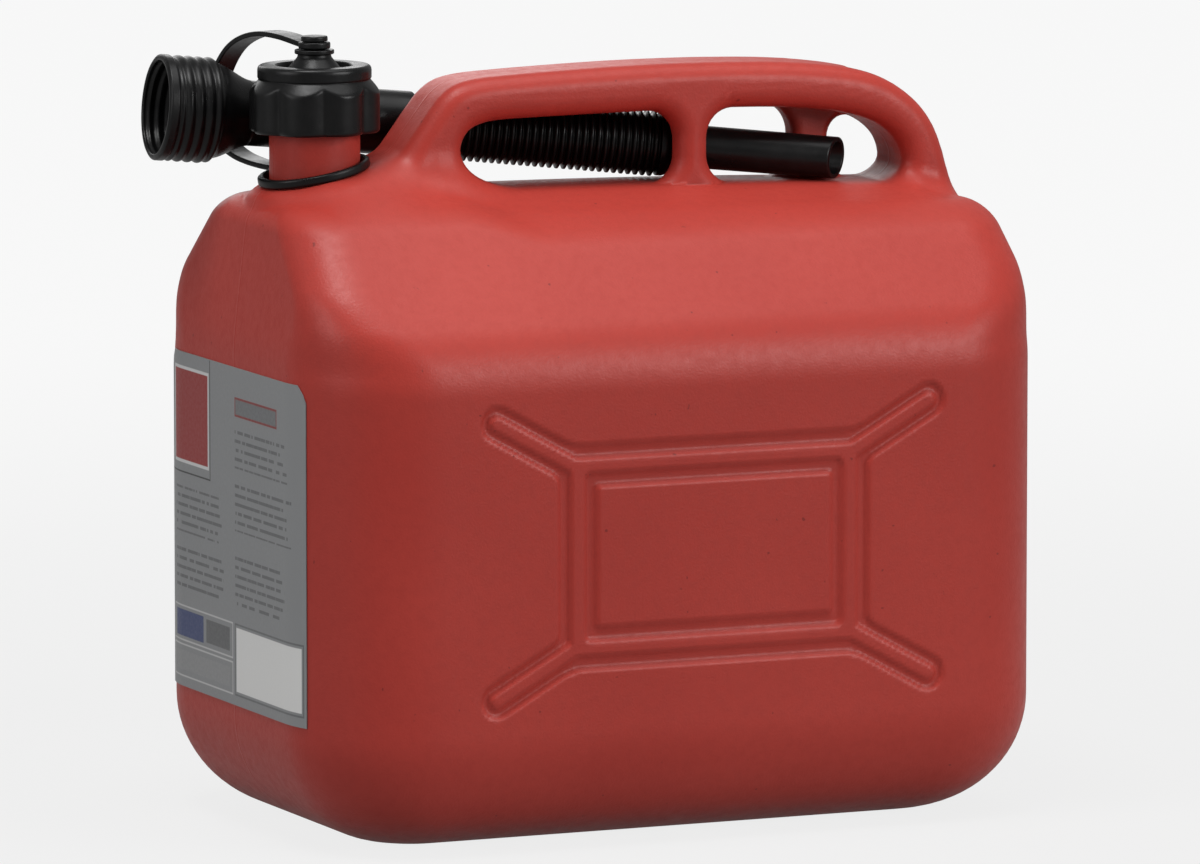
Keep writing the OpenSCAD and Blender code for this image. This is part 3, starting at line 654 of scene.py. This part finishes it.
# %% [markdown]
# ## Turned pieces
# Neck, ring, stud and spout are turned forms: a profile of radius and height goes round an axis. The
# profile's corners are rounded first, as on any moulding. A thread is a turned form too, whose radius
# also depends on the angle: the ridge climbs by one pitch in one turn.

# %% Profile helpers
def rounded(profile, radius=0.4, steps=4, closed=True):
    """Corners of a profile replaced by curves that start and end a radius away."""
    p = np.asarray(profile, float)
    before, after = np.roll(p, 1, 0) - p, np.roll(p, -1, 0) - p
    lb, la = np.linalg.norm(before, axis=1), np.linalg.norm(after, axis=1)
    cut = np.minimum(np.broadcast_to(radius, lb.shape), 0.42 * np.minimum(lb, la))
    if not closed:
        cut[[0, -1]] = 0
    start, end = p + before / lb[:, None] * cut[:, None], p + after / la[:, None] * cut[:, None]
    t = np.linspace(0, 1, steps + 1)[None, :, None]
    bend = (1 - t) ** 2 * start[:, None] + 2 * t * (1 - t) * p[:, None] + t ** 2 * end[:, None]
    lead = p[:, None] + (np.stack([start, end], 1) - p[:, None]) * 1.25
    rows = np.hstack([lead[:, :1], bend, lead[:, 1:]]).reshape(-1, 2)
    if not closed:
        rows = rows[steps + 2:-(steps + 2)]
    return rows


def tube(r, bore, low, high):
    """Corners of a tube's profile."""
    return [[r, low], [r, high], [bore, high], [bore, low]]


def axes_of(origin, along, level):
    """Origin and three unit axes: the last along the form, the second as level as can be."""
    z = np.asarray(along) / np.linalg.norm(along)
    y = np.asarray(level) - np.dot(level, z) * z
    y /= np.linalg.norm(y)
    return np.asarray(origin), np.stack([np.cross(y, z), y, z])


def turned(radius, height, place, cols):
    """Points of a turned form; radius and height may each be a column or a grid."""
    w = np.arange(cols) * TAU / cols
    origin, axes = place
    radius, height = (np.broadcast_to(v, (len(v), cols)) for v in (radius, height))
    local = np.stack([radius * np.cos(w), radius * np.sin(w), height], -1)
    return origin + local @ axes


def turned_piece(name, profile, place, body, stands_for, cols=96, closed=True):
    """A black turned piece; its profile of (radius, height) runs up outside and down inside."""
    points = turned(profile[:, :1], profile[:, 1:], place, cols)
    return piece(name, points, ring_faces(points, wrap_rows=closed), black, body, stands_for,
                 weld=0.0 if closed else 0.002)


upright = axes_of((NECK_X, 0, 0), (0, 0, 1), (0, 1, 0))
tilted = axes_of((NECK_X, 0, SEAT_Z), SEAT_UP, (0, 1, 0))

# %% [markdown]
# ## Neck, loose ring, sealing rings
# The neck is a plain tube with a raised thread under the cap. The ring that ties the strap lies loose
# on the sloping seat. The two sealing rings keep the shape of their solids.

# %% Neck and ring
NECK_R, NECK_BORE, NECK_FOOT, NECK_TOP, NECK_COLS = 17.0, 14.0, 237.0, 276.0, 160
THREAD_LOW, THREAD_HIGH, THREAD_PITCH, THREAD_REACH = 263.0, 274.0, 5.0, 1.1
RING = (21.3, 18.6, 0.3, 3.65)  # radius, bore, foot and top


def thread(h, cols):
    """Reach of the screw ridge for a column of heights, faded out at both ends."""
    w = np.arange(cols) / cols
    ridge = np.clip(1.25 * np.cos(TAU * (h / THREAD_PITCH - w)) - 0.1, 0, 1)
    return THREAD_REACH * ridge * soft_step(h - THREAD_LOW, 2.0) * soft_step(THREAD_HIGH - h, 2.0)


wall_z = np.arange(NECK_FOOT, NECK_TOP - 0.7, 0.4)
neck_wall = np.stack([np.full(len(wall_z), NECK_R), wall_z], 1)
neck_lip = rounded(tube(NECK_R, NECK_BORE, 260.5, NECK_TOP), 0.9)
neck_rows = np.vstack([neck_wall, neck_lip[7:-7], [[NECK_BORE, NECK_FOOT]]])
neck_r, neck_z = neck_rows[:, :1], neck_rows[:, 1:]
neck_r = neck_r + np.where(neck_r > NECK_R - 0.01, thread(neck_z, NECK_COLS), 0)
points = turned(neck_r, neck_z, upright, NECK_COLS)
neck = piece("can_neck", points, ring_faces(points), red, "can")
ring_line = rounded(tube(*RING), 1.2, 6)
ring = turned_piece("tether_ring", ring_line, tilted, "can", ["neck_ring"])
for node in ("cap_gasket", "spout_gasket"):
    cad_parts[node].data.materials.clear()
    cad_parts[node].data.materials.append(rubber)

# %% [markdown]
# ## Screw cap
# The cap's skirt has eight round lobes. Its outline is the farthest of eight circles set in a ring,
# and a cone cuts the lobes at the top, which leaves the crescent facets that catch the light. A
# collar, a rim and a shallow dish with the stud's hole finish the top.

# %% Cap
CAP_FOOT, CAP_R, CAP_COLS = 262.5, 24.75, 288
LOBES, LOBE_R, LOBE_AT, LOBE_TURN = 8, 11.0, 13.75, 9
FACET_R, FACET_TOP, FACET_SLOPE, FACET_SHARP = 21.0, 281.9, 0.863, 3.4


def lobed(cols):
    """Radius of the lobed outline: where a ray leaves each circle, joined by a power mean."""
    w = np.arange(cols) * TAU / cols
    centre = np.radians(np.arange(LOBES) * 360 / LOBES + LOBE_TURN)[:, None]
    off = np.cos(w - centre) * LOBE_AT
    square = LOBE_R ** 2 - LOBE_AT ** 2 + off ** 2
    ray = np.where(square > 0, off + np.sqrt(np.maximum(square, 1e-9)), 1.0)
    return (ray ** 70).sum(0) ** (1 / 70)


def soft_min(a, b, sharp, near):
    """The lesser of two radii, with a soft change; near is a radius close to both."""
    return -np.log(np.exp(-(a - near) * sharp) + np.exp(-(b - near) * sharp)) / sharp + near


lobe_r = np.minimum(lobed(CAP_COLS), CAP_R)[None, :]
skirt_z = np.hstack([CAP_FOOT + np.array([0, 0.15, 0.45, 0.9]), np.linspace(264.1, 276.5, 10),
                     np.arange(276.9, 281.91, 0.25)])[:, None]
tuck_in = 0.8 * (1 - soft_step(skirt_z - CAP_FOOT + 0.15, 1.0))
facet = FACET_R + (FACET_TOP - skirt_z) * FACET_SLOPE
skirt_r = soft_min(lobe_r - tuck_in, facet, FACET_SHARP, 22)
top = rounded([[20.9, 282.1], [21.35, 282.7], [21.35, 287.5], [14.2, 287.5], [13.8, 284.9],
               [5, 284.9], [5, 279.5], [18.8, 279.5], [18.8, CAP_FOOT], [22.2, CAP_FOOT]],
              [0.2, 0.4, 2.4, 1.6, 0.8, 0.3, 0.3, 0.6, 0.5, 0.1], closed=False)[:-1]
cap_r = np.vstack([skirt_r, np.repeat(top[:, :1], CAP_COLS, 1), lobe_r - 2.0])
cap_z = np.vstack([skirt_z, top[:, 1:], [[CAP_FOOT]]])
points = turned(cap_r, cap_z, upright, CAP_COLS)
cap = piece("screw_cap_lobed", points, ring_faces(points), black, "cap", ["screw_cap"])

# %% [markdown]
# ## Stud, eyelet and strap
# The stud snaps into the cap and turns in it, so the strap doesn't twist. The strap is a flat band
# that loops over the spout and back to the ring: a rounded section is carried along its path, square
# to it. It stretches between the can and the stud.

# %% Stud and eyelet
FOOT = 285.3
POLE = 0.0004
stud_line = rounded([
    [POLE, 277.1], [5.7, 277.1], [5.7, 279.1], [4.6, 279.1], [4.6, FOOT], [9.8, FOOT],
    [9.8, FOOT + 0.9], [6.4, FOOT + 5.0], [6.2, FOOT + 6.2], [7.4, FOOT + 6.2], [7.4, FOOT + 7.8],
    [3.5, FOOT + 7.8], [3.5, FOOT + 11], [5, FOOT + 11], [5, FOOT + 12.9], [POLE, FOOT + 12.9]],
    [0, 0.3, 0.2, 0.2, 0.2, 0.3, 0.5, 2.2, 0.3, 0.4, 0.4, 0.3, 0.3, 0.3, 0.8, 0], closed=False)
stud = turned_piece("tether_stud_turned", stud_line, upright, "tether_stud", ["cap_stud"],
                    closed=False)
eyelet_line = rounded(tube(6, 3.85, FOOT + 8.15, FOOT + 10.65), 0.7)
eyelet = turned_piece("tether_eyelet", eyelet_line, upright, "tether_stud", ["strap_eyelet"])

# %% Strap
STRAP_WAY = np.arctan2(58, -11)
STRAP_IN, STRAP_OUT, STRAP_LOW, STRAP_HIGH = 6, 67.2, 246.6, FOOT + 9.4
# The loop from the stud to the ring, as shares of the way out and of the height
LOOP = np.array([
    [-0.02, 1.0], [0.07, 1.017], [0.2, 1.036], [0.36, 1.042], [0.51, 1.023], [0.65, 0.975],
    [0.77, 0.9], [0.87, 0.79], [0.95, 0.65], [1, 0.5], [0.995, 0.34], [0.945, 0.205], [0.85, 0.11],
    [0.72, 0.05], [0.58, 0.02], [0.44, 0.005], [0.34, 0], [0.245, 0]])
path = np.stack([STRAP_IN + LOOP[:, 0] * (STRAP_OUT - STRAP_IN),
                 STRAP_LOW + LOOP[:, 1] * (STRAP_HIGH - STRAP_LOW)], 1)
strap_run, strap_line = smooth_through(path, 1.0)
slope = np.gradient(strap_line, axis=0)
slope /= np.linalg.norm(slope, axis=1, keepdims=True)
taper = 1 - 0.18 * np.exp(-strap_run / 6) - 0.15 * np.exp(-(strap_run[-1] - strap_run) / 6)
section = rounded([[-4.5, -1], [4.5, -1], [4.5, 1], [-4.5, 1]], 0.55)
flat, thick = section[None, :, 0] * taper[:, None], section[None, :, 1]
out = strap_line[:, :1] - slope[:, 1:] * thick
up = strap_line[:, 1:] + slope[:, :1] * thick
strap_points = np.stack([NECK_X + out * np.cos(STRAP_WAY) - flat * np.sin(STRAP_WAY),
                         out * np.sin(STRAP_WAY) + flat * np.cos(STRAP_WAY), up], -1)
rows, cols = strap_points.shape[:2]
strap_faces = [grid_faces(rows, cols, wrap_cols=True)[:, ::-1], np.arange(cols)[None, :],
               np.arange(rows * cols - cols, rows * cols)[None, ::-1]]
strap = piece("tether_strap", strap_points, strap_faces, black, None, ["strap"])
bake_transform(strap)

# %% [markdown]
# ## Pouring spout
# The spout is put away with its threaded cup beside the cap. A smooth cuff leads to the ribbed hose,
# and the tip ends in a slanting cut. Two axes are enough: one for cup and cuff, and one for hose and
# tip, which turn a little where the hose starts.

# %% Axes of the spout
ROOT = np.array([-63.0, 33.574, 259.532])
PITCH, CUP_YAW, HOSE_YAW = np.radians([5.5, 6.0, 15.2])
TUBE_R, TUBE_BORE, TUBE_L = 12.3, 9, 65.2


def stowed_way(yaw):
    """Direction from tip to cup for a turn from the X axis, at the common slope."""
    return np.array([-np.cos(PITCH) * np.cos(yaw), np.cos(PITCH) * np.sin(yaw), np.sin(PITCH)])


cup_axes = axes_of(ROOT, stowed_way(CUP_YAW), (np.sin(CUP_YAW), np.cos(CUP_YAW), 0))
hose_axes = axes_of(ROOT, -stowed_way(HOSE_YAW), (np.sin(HOSE_YAW), np.cos(HOSE_YAW), 0))

# %% Cup and cuff
CUP0, CUP1, CUP_R, CUP_LIP, CUP_BORE = 79.2, 101.2, 19.15, 20.0, 17.6
CUP_PITCH, CUP_COLS = 3.9, 192


def cup_wave(h, cols):
    """0 to 1 over a ridge that climbs round the cup, for a column of heights."""
    return 0.5 + 0.5 * np.cos(TAU * (h / CUP_PITCH - np.arange(cols) / cols))


def cup_points(cols):
    """Cone and cup: ridges climb round the outside, lower ones round the bore."""
    cone = np.linspace(TUBE_L, CUP0, 12)
    cone_r = TUBE_R + (18.0 - TUBE_R) * soft_step(cone - TUBE_L + 1.0, CUP0 - TUBE_L + 1.5)
    outer_z = np.arange(CUP0 + 0.3, CUP1 - 0.2, 0.25)
    h = outer_z[:, None]
    ridges = 0.85 * cup_wave(h, cols) ** 0.7 * soft_step(h - CUP0, 2.5) * soft_step(CUP1 - 4.5 - h, 1.6)
    lip = soft_step(h - (CUP1 - 4.6), 1.2)
    mouth_edge, foot_edge = 1 - soft_step(CUP1 - h, 0.9), 1 - soft_step(h - CUP0 + 0.3, 1.4)
    outer_r = (CUP_R + ridges) * (1 - lip) + CUP_LIP * lip - 0.8 * mouth_edge - 1.2 * foot_edge
    mouth = np.array([[18.9, CUP1], [18.0, CUP1]])
    inner_z = np.arange(CUP1 - 0.4, CUP0 + 5.0, -0.3)
    h = inner_z[:, None]
    fade_out, fade_in = soft_step(CUP1 - 1.0 - h, 2.0), soft_step(h - CUP0 - 5.5, 2.0)
    inner_r = CUP_BORE - 0.7 * cup_wave(h, cols) * fade_out * fade_in
    inside = rounded([[17.4, CUP0 + 6.4], [17.2, CUP0 + 2.4], [TUBE_BORE, CUP0 + 2.4],
                      [TUBE_BORE, TUBE_L], [TUBE_R, TUBE_L]], 0.4, closed=False)[1:-1]
    cone_r, mouth_r, inside_r = (np.repeat(r[:, None], cols, 1)
                                 for r in (cone_r, mouth[:, 0], inside[:, 0]))
    r = np.vstack([cone_r, outer_r, mouth_r, inner_r, inside_r])
    z = np.hstack([cone, outer_z, mouth[:, 1], inner_z, inside[:, 1]])[:, None]
    return turned(r, z, cup_axes, cols)


points = cup_points(CUP_COLS)
cup = piece("spout_cup_threaded", points, ring_faces(points), black, "spout", ["spout_coupling"])
cuff_line = rounded(tube(TUBE_R, TUBE_BORE, 0.9, TUBE_L), [1.3, 0.1, 0.1, 0.5], 6)
cuff = turned_piece("spout_cuff_smooth", cuff_line, cup_axes, "spout", ["spout_cuff"])

# %% Ribbed hose
RIBS, HOSE0, HOSE_L, HOSE_R, RIB_REACH = 33, 2.4, 90.816, 10.9, 1.6
HOSE1 = HOSE0 + HOSE_L
phase = np.arange(RIBS * 8) / 8
rib = np.clip(0.5 + 0.75 * np.sin(TAU * (phase - 0.25)), 0, 1) ** 0.8
hose_line = np.vstack([
    [[TUBE_BORE, 0.0], [10.7, 0.0], [HOSE_R, 0.2], [HOSE_R, 2.0]],
    np.stack([HOSE_R + RIB_REACH * rib, HOSE0 + phase * HOSE_L / RIBS], 1),
    [[HOSE_R, HOSE1], [HOSE_R, HOSE1 + 0.6], [TUBE_BORE, HOSE1 + 0.6]],
    np.stack([np.full(12, TUBE_BORE), np.linspace(HOSE1, 1, 12)], 1)])
hose = turned_piece("spout_hose_ribbed", hose_line, hose_axes, "spout", ["spout_hose"], cols=80)

# %% Tip
REACH, TIP_L, TIP_R, TIP_BORE, TIP_COLS, TIP_SLANT = 167.816, 73.9, 8.0, 6.3, 96, np.radians(30)


def tip_points(cols):
    """A collar, a taper and a tube; past the taper, heights move so that the end slants."""
    start = REACH - TIP_L
    line = rounded([[12.1, start], [12.1, start + 2.4], [8.2, start + 11], [TIP_R, REACH],
                    [TIP_BORE, REACH], [TIP_BORE, start + 12],
                    [TUBE_BORE, start + 2], [TUBE_BORE, start]],
                   [0.4, 0.8, 3.0, 0.5, 0.3, 1.5, 0.5, 0.3], 5)
    side = np.arange(cols) * TAU / cols
    r, z = line[:, :1], line[:, 1:]
    slant = np.tan(TIP_SLANT) * (r * np.sin(side) - TIP_R)
    return turned(r, z + slant * soft_step(z - start - 14, 58), hose_axes, cols)


points = tip_points(TIP_COLS)
tip = piece("spout_tip_cut", points, ring_faces(points), black, "spout", ["spout_tip"])

# %% [markdown]
# ## Label
# A grey film is stuck round the narrow end. Its sheet is a grid of distance round by height, with
# its outer face half a millimetre off the wall. The print is plain: a blank white field, blocks of
# colour and rows of thin grey bars.

# %% Label print
LABEL_HALF, LABEL_Z0, LABEL_Z1 = 65.0, 48.0, 175.5
LABEL_H = LABEL_Z1 - LABEL_Z0
LINE_H, BLUR = 3.4, 0.15
FILM_LOW, FILM_HIGH, BAR_INK = (0.225, 0.23, 0.235), (0.255, 0.26, 0.265), (0.05, 0.052, 0.056)
# Fields of bars: left, right, bottom and top, in millimetres round and up
BARS = ((1.9, 54, 137.6, 152.3), (1.9, 56.8, 113.9, 131.8), (1.9, 52.1, 84.9, 106.5),
        (-57.7, -9.3, 107, 124.4), (-57.7, -7.4, 84.9, 102.8))
# Blocks in printing order: edges, width of line (0 for a full block), colour
BLOCKS = (
    ((-59.6, -23.7, 133.4, 170.2), 0, (0.60, 0.60, 0.60)),
    ((-58.5, -24.9, 134.6, 169), 0, (0.27, 0.03, 0.028)),
    ((-22.9, -22.3, 130.2, 175.2), 0, (0.03, 0.03, 0.032)),
    ((-64.9, -22.3, 129.6, 130.2), 0, (0.03, 0.03, 0.032)),
    ((1.9, 42.8, 157.1, 164.4), 0, (0.22, 0.03, 0.03)),
    ((2.6, 42.1, 157.9, 163.6), 0, (0.155, 0.16, 0.165)),
    ((1.4, 63.7, 51.7, 79.1), 0.7, (0.13, 0.135, 0.14)),
    ((2.8, 62.3, 53.3, 77.5), 0, (0.71, 0.71, 0.70)),
    ((-61.5, -0.5, 65.4, 79.1), 0.6, (0.5, 0.5, 0.5)),
    ((-61.5, -0.5, 51.7, 64.3), 0.6, (0.5, 0.5, 0.5)),
    ((-57.7, -29.8, 67.2, 77.3), 0, (0.045, 0.06, 0.15)),
    ((-27, -3.7, 67.8, 76.7), 0, (0.12, 0.122, 0.125)),
    ((-57.7, -3.7, 54.3, 61.7), 0, (0.26, 0.262, 0.265)))


def printed_film():
    """Blocks drawn on the sheet's own map: each is a product of four soft edges."""
    material, tree, shader = new_material("label_film")
    where = add(tree, "ShaderNodeUVMap", uv_map="flat").outputs["UV"]
    split = add(tree, "ShaderNodeSeparateXYZ", [("Vector", where)])
    across = calc(tree, "MULTIPLY_ADD", split.outputs["X"], 2 * LABEL_HALF, -LABEL_HALF)
    up = calc(tree, "MULTIPLY_ADD", split.outputs["Y"], LABEL_H, LABEL_Z0)

    def times(*shares):
        product = shares[0]
        for share in shares[1:]:
            product = calc(tree, "MULTIPLY", product, share)
        return product

    def block(x0, x1, z0, z1):
        return times(ramp(tree, across, x0 - BLUR, x0 + BLUR), ramp(tree, across, x1 + BLUR, x1 - BLUR),
                     ramp(tree, up, z0 - BLUR, z0 + BLUR), ramp(tree, up, z1 + BLUR, z1 - BLUR))

    paper = noise(tree, where, 90.0, 4.0)
    colour = mix(tree, paper, FILM_LOW, FILM_HIGH)
    lines = calc(tree, "DIVIDE", up, LINE_H)
    in_line, line_no = calc(tree, "FRACT", lines), calc(tree, "FLOOR", lines)
    bar = times(ramp(tree, in_line, 0.30, 0.36), ramp(tree, in_line, 0.72, 0.66))
    chance = add(tree, "ShaderNodeTexWhiteNoise", [("W", line_no)], noise_dimensions="1D")
    ragged = calc(tree, "ADD", across, times(chance.outputs["Value"], 9.0))
    spot = add(tree, "ShaderNodeCombineXYZ", [("X", times(across, 0.42)), ("Y", times(line_no, 7.3))])
    words = times(bar, ramp(tree, noise(tree, spot.outputs["Vector"], 1.0, 0.0), 0.36, 0.40))
    for edges in BARS:
        end = ramp(tree, ragged, edges[1] + BLUR, edges[1] - BLUR)
        colour = mix(tree, times(block(*edges), words, times(end, 0.62)), colour, BAR_INK)
    for (x0, x1, z0, z1), line, ink in BLOCKS:
        share = block(x0, x1, z0, z1)
        if line:
            share = calc(tree, "SUBTRACT", share, block(x0 + line, x1 - line, z0 + line, z1 - line))
        colour = mix(tree, share, colour, ink)
    dress(tree, shader, colour, ramp(tree, paper, 0.3, 0.7, 0.40, 0.52),
          noise(tree, object_place(tree), 500.0), 0.12, 0.0002)
    return material

# %% Label sheet
LABEL_CUT, LABEL_BACK, LABEL_FRONT = 5.0, 0.12, 0.5


def label_points():
    """Back and front of the film, and its map, from distance round the end and height."""
    s, v = np.meshgrid(np.linspace(-1, 1, 121), np.linspace(0, 1, 41))
    s = s * (LABEL_HALF - np.maximum(0, LABEL_CUT - (1 - v) * LABEL_H))
    sheets = []
    for lift in (LABEL_BACK, LABEL_FRONT):
        bend = np.clip((np.abs(s) - FLAT_Y) / EDGE_R, 0, 1.5)
        y = np.where(np.abs(s) < FLAT_Y, np.abs(s), FLAT_Y + (EDGE_R + lift) * np.sin(bend))
        x = -FLAT_X - (EDGE_R + lift) * np.cos(bend)
        sheets.append(np.stack([x, -np.sign(s) * y, LABEL_Z0 + v * LABEL_H], -1))
    return (*sheets, np.stack([(s + LABEL_HALF) / (2 * LABEL_HALF), v], -1))


back_sheet, front_sheet, flat_map = label_points()
rows, cols = front_sheet.shape[:2]
count = rows * cols
faces = grid_faces(rows, cols)
edge = np.hstack([
    np.arange(cols), np.arange(2 * cols - 1, count, cols),
    np.arange(count - 2, count - cols - 1, -1), np.arange(count - 2 * cols, 0, -cols)])
after = np.roll(edge, -1)
label = piece(
    "label_sheet", np.stack([front_sheet, back_sheet]),
    [faces, faces[:, ::-1] + count, np.stack([edge, edge + count, after + count, after], 1)],
    printed_film(), "can", ["label"], uv=np.vstack([flat_map.reshape(-1, 2)] * 2))
label.data.set_sharp_from_angle(angle=0.6)

# %% [markdown]
# ## Studio
# A wide floor lies under a white sky, two soft lamps hang above the can, and others fill the front,
# the neck end and the back. The light level is plain, so that a colour renders about as it is written.

# %% Floor and sky
FLOOR_LOW, FLOOR_HIGH, FLOOR_REACH = (0.30, 0.30, 0.30), (0.32, 0.32, 0.32), 6000
WHITE, SKY_LIGHT, SKY_SEEN, SKY_MIRRORED = 0.95, 0.10, 0.85, 0.25


def seen_rays(tree):
    """1 for rays from the eye or through glass, a share for mirror rays, 0 for other light."""
    rays = add(tree, "ShaderNodeLightPath").outputs
    direct = calc(tree, "MAXIMUM", rays["Is Camera Ray"], rays["Is Transmission Ray"])
    return calc(tree, "MAXIMUM", direct, calc(tree, "MULTIPLY", rays["Is Glossy Ray"], SKY_MIRRORED))


def floor_material():
    """Matt floor that keeps the shadow; the eye sees it mixed with white, more so far away."""
    material, tree, shader = new_material("pale_floor", 0.1)
    where = object_place(tree)
    colour = mix(tree, noise(tree, where, 3.0), FLOOR_LOW, FLOOR_HIGH)
    tree.links.new(colour, shader.inputs["Base Color"])
    shader.inputs["Roughness"].default_value = 0.9
    away = add(tree, "ShaderNodeVectorMath", [(0, where)], operation="LENGTH").outputs["Value"]
    share = calc(tree, "MULTIPLY", seen_rays(tree), ramp(tree, away, 0.25, 1.5, 0.86, 0.98))
    white = add(tree, "ShaderNodeEmission", Strength=WHITE)
    both = add(tree, "ShaderNodeMixShader",
               [("Fac", share), (1, shader.outputs[0]), (2, white.outputs[0])])
    tree.links.new(both.outputs[0], tree.nodes["Material Output"].inputs["Surface"])
    return material


reach = np.linspace(-FLOOR_REACH, FLOOR_REACH, 9)
floor_points = np.stack(np.broadcast_arrays(reach[None, :], reach[:, None], 0.0), -1)
floor = piece("floor", floor_points, [grid_faces(9, 9)], floor_material(), None)

world = bpy.data.worlds.new("studio")
scene.world = world
world.use_nodes = True
sky_tree = world.node_tree
sky = sky_tree.nodes["Background"]
sky.inputs["Color"].default_value = (1.0, 1.0, 1.0, 1.0)
strength = calc(sky_tree, "MULTIPLY_ADD", seen_rays(sky_tree), SKY_SEEN, SKY_LIGHT)
sky_tree.links.new(strength, sky.inputs["Strength"])

# %% Lamps
# Name, place, target's height and lamp's size in metres, power in watts
LAMPS = (
    ("over_left", (-0.5, -0.25, 2.2), 0.15, (0.8, 0.8), 26.0),
    ("over_right", (0.5, -0.3, 2.2), 0.15, (1.6, 1.2), 15.0),
    ("front", (1.3, -2.0, 1.1), 0.12, (1.4, 1.0), 35.0),
    ("end", (-1.9, -0.3, 1.0), 0.12, (1.0, 1.2), 13.0),
    ("back", (0.4, 2.4, 1.1), 0.12, (1.4, 1.0), 9.0))
for name, place, aim_z, size, watts in LAMPS:
    lamp_data = bpy.data.lights.new(name, "AREA")
    lamp_data.shape, lamp_data.energy = "RECTANGLE", watts
    lamp_data.size, lamp_data.size_y = size
    lamp = bpy.data.objects.new(name, lamp_data)
    lamp.location = place
    lamp.rotation_euler = facing(place, (0, 0, aim_z))
    scene.collection.objects.link(lamp)
scene.view_settings.view_transform = "Standard"
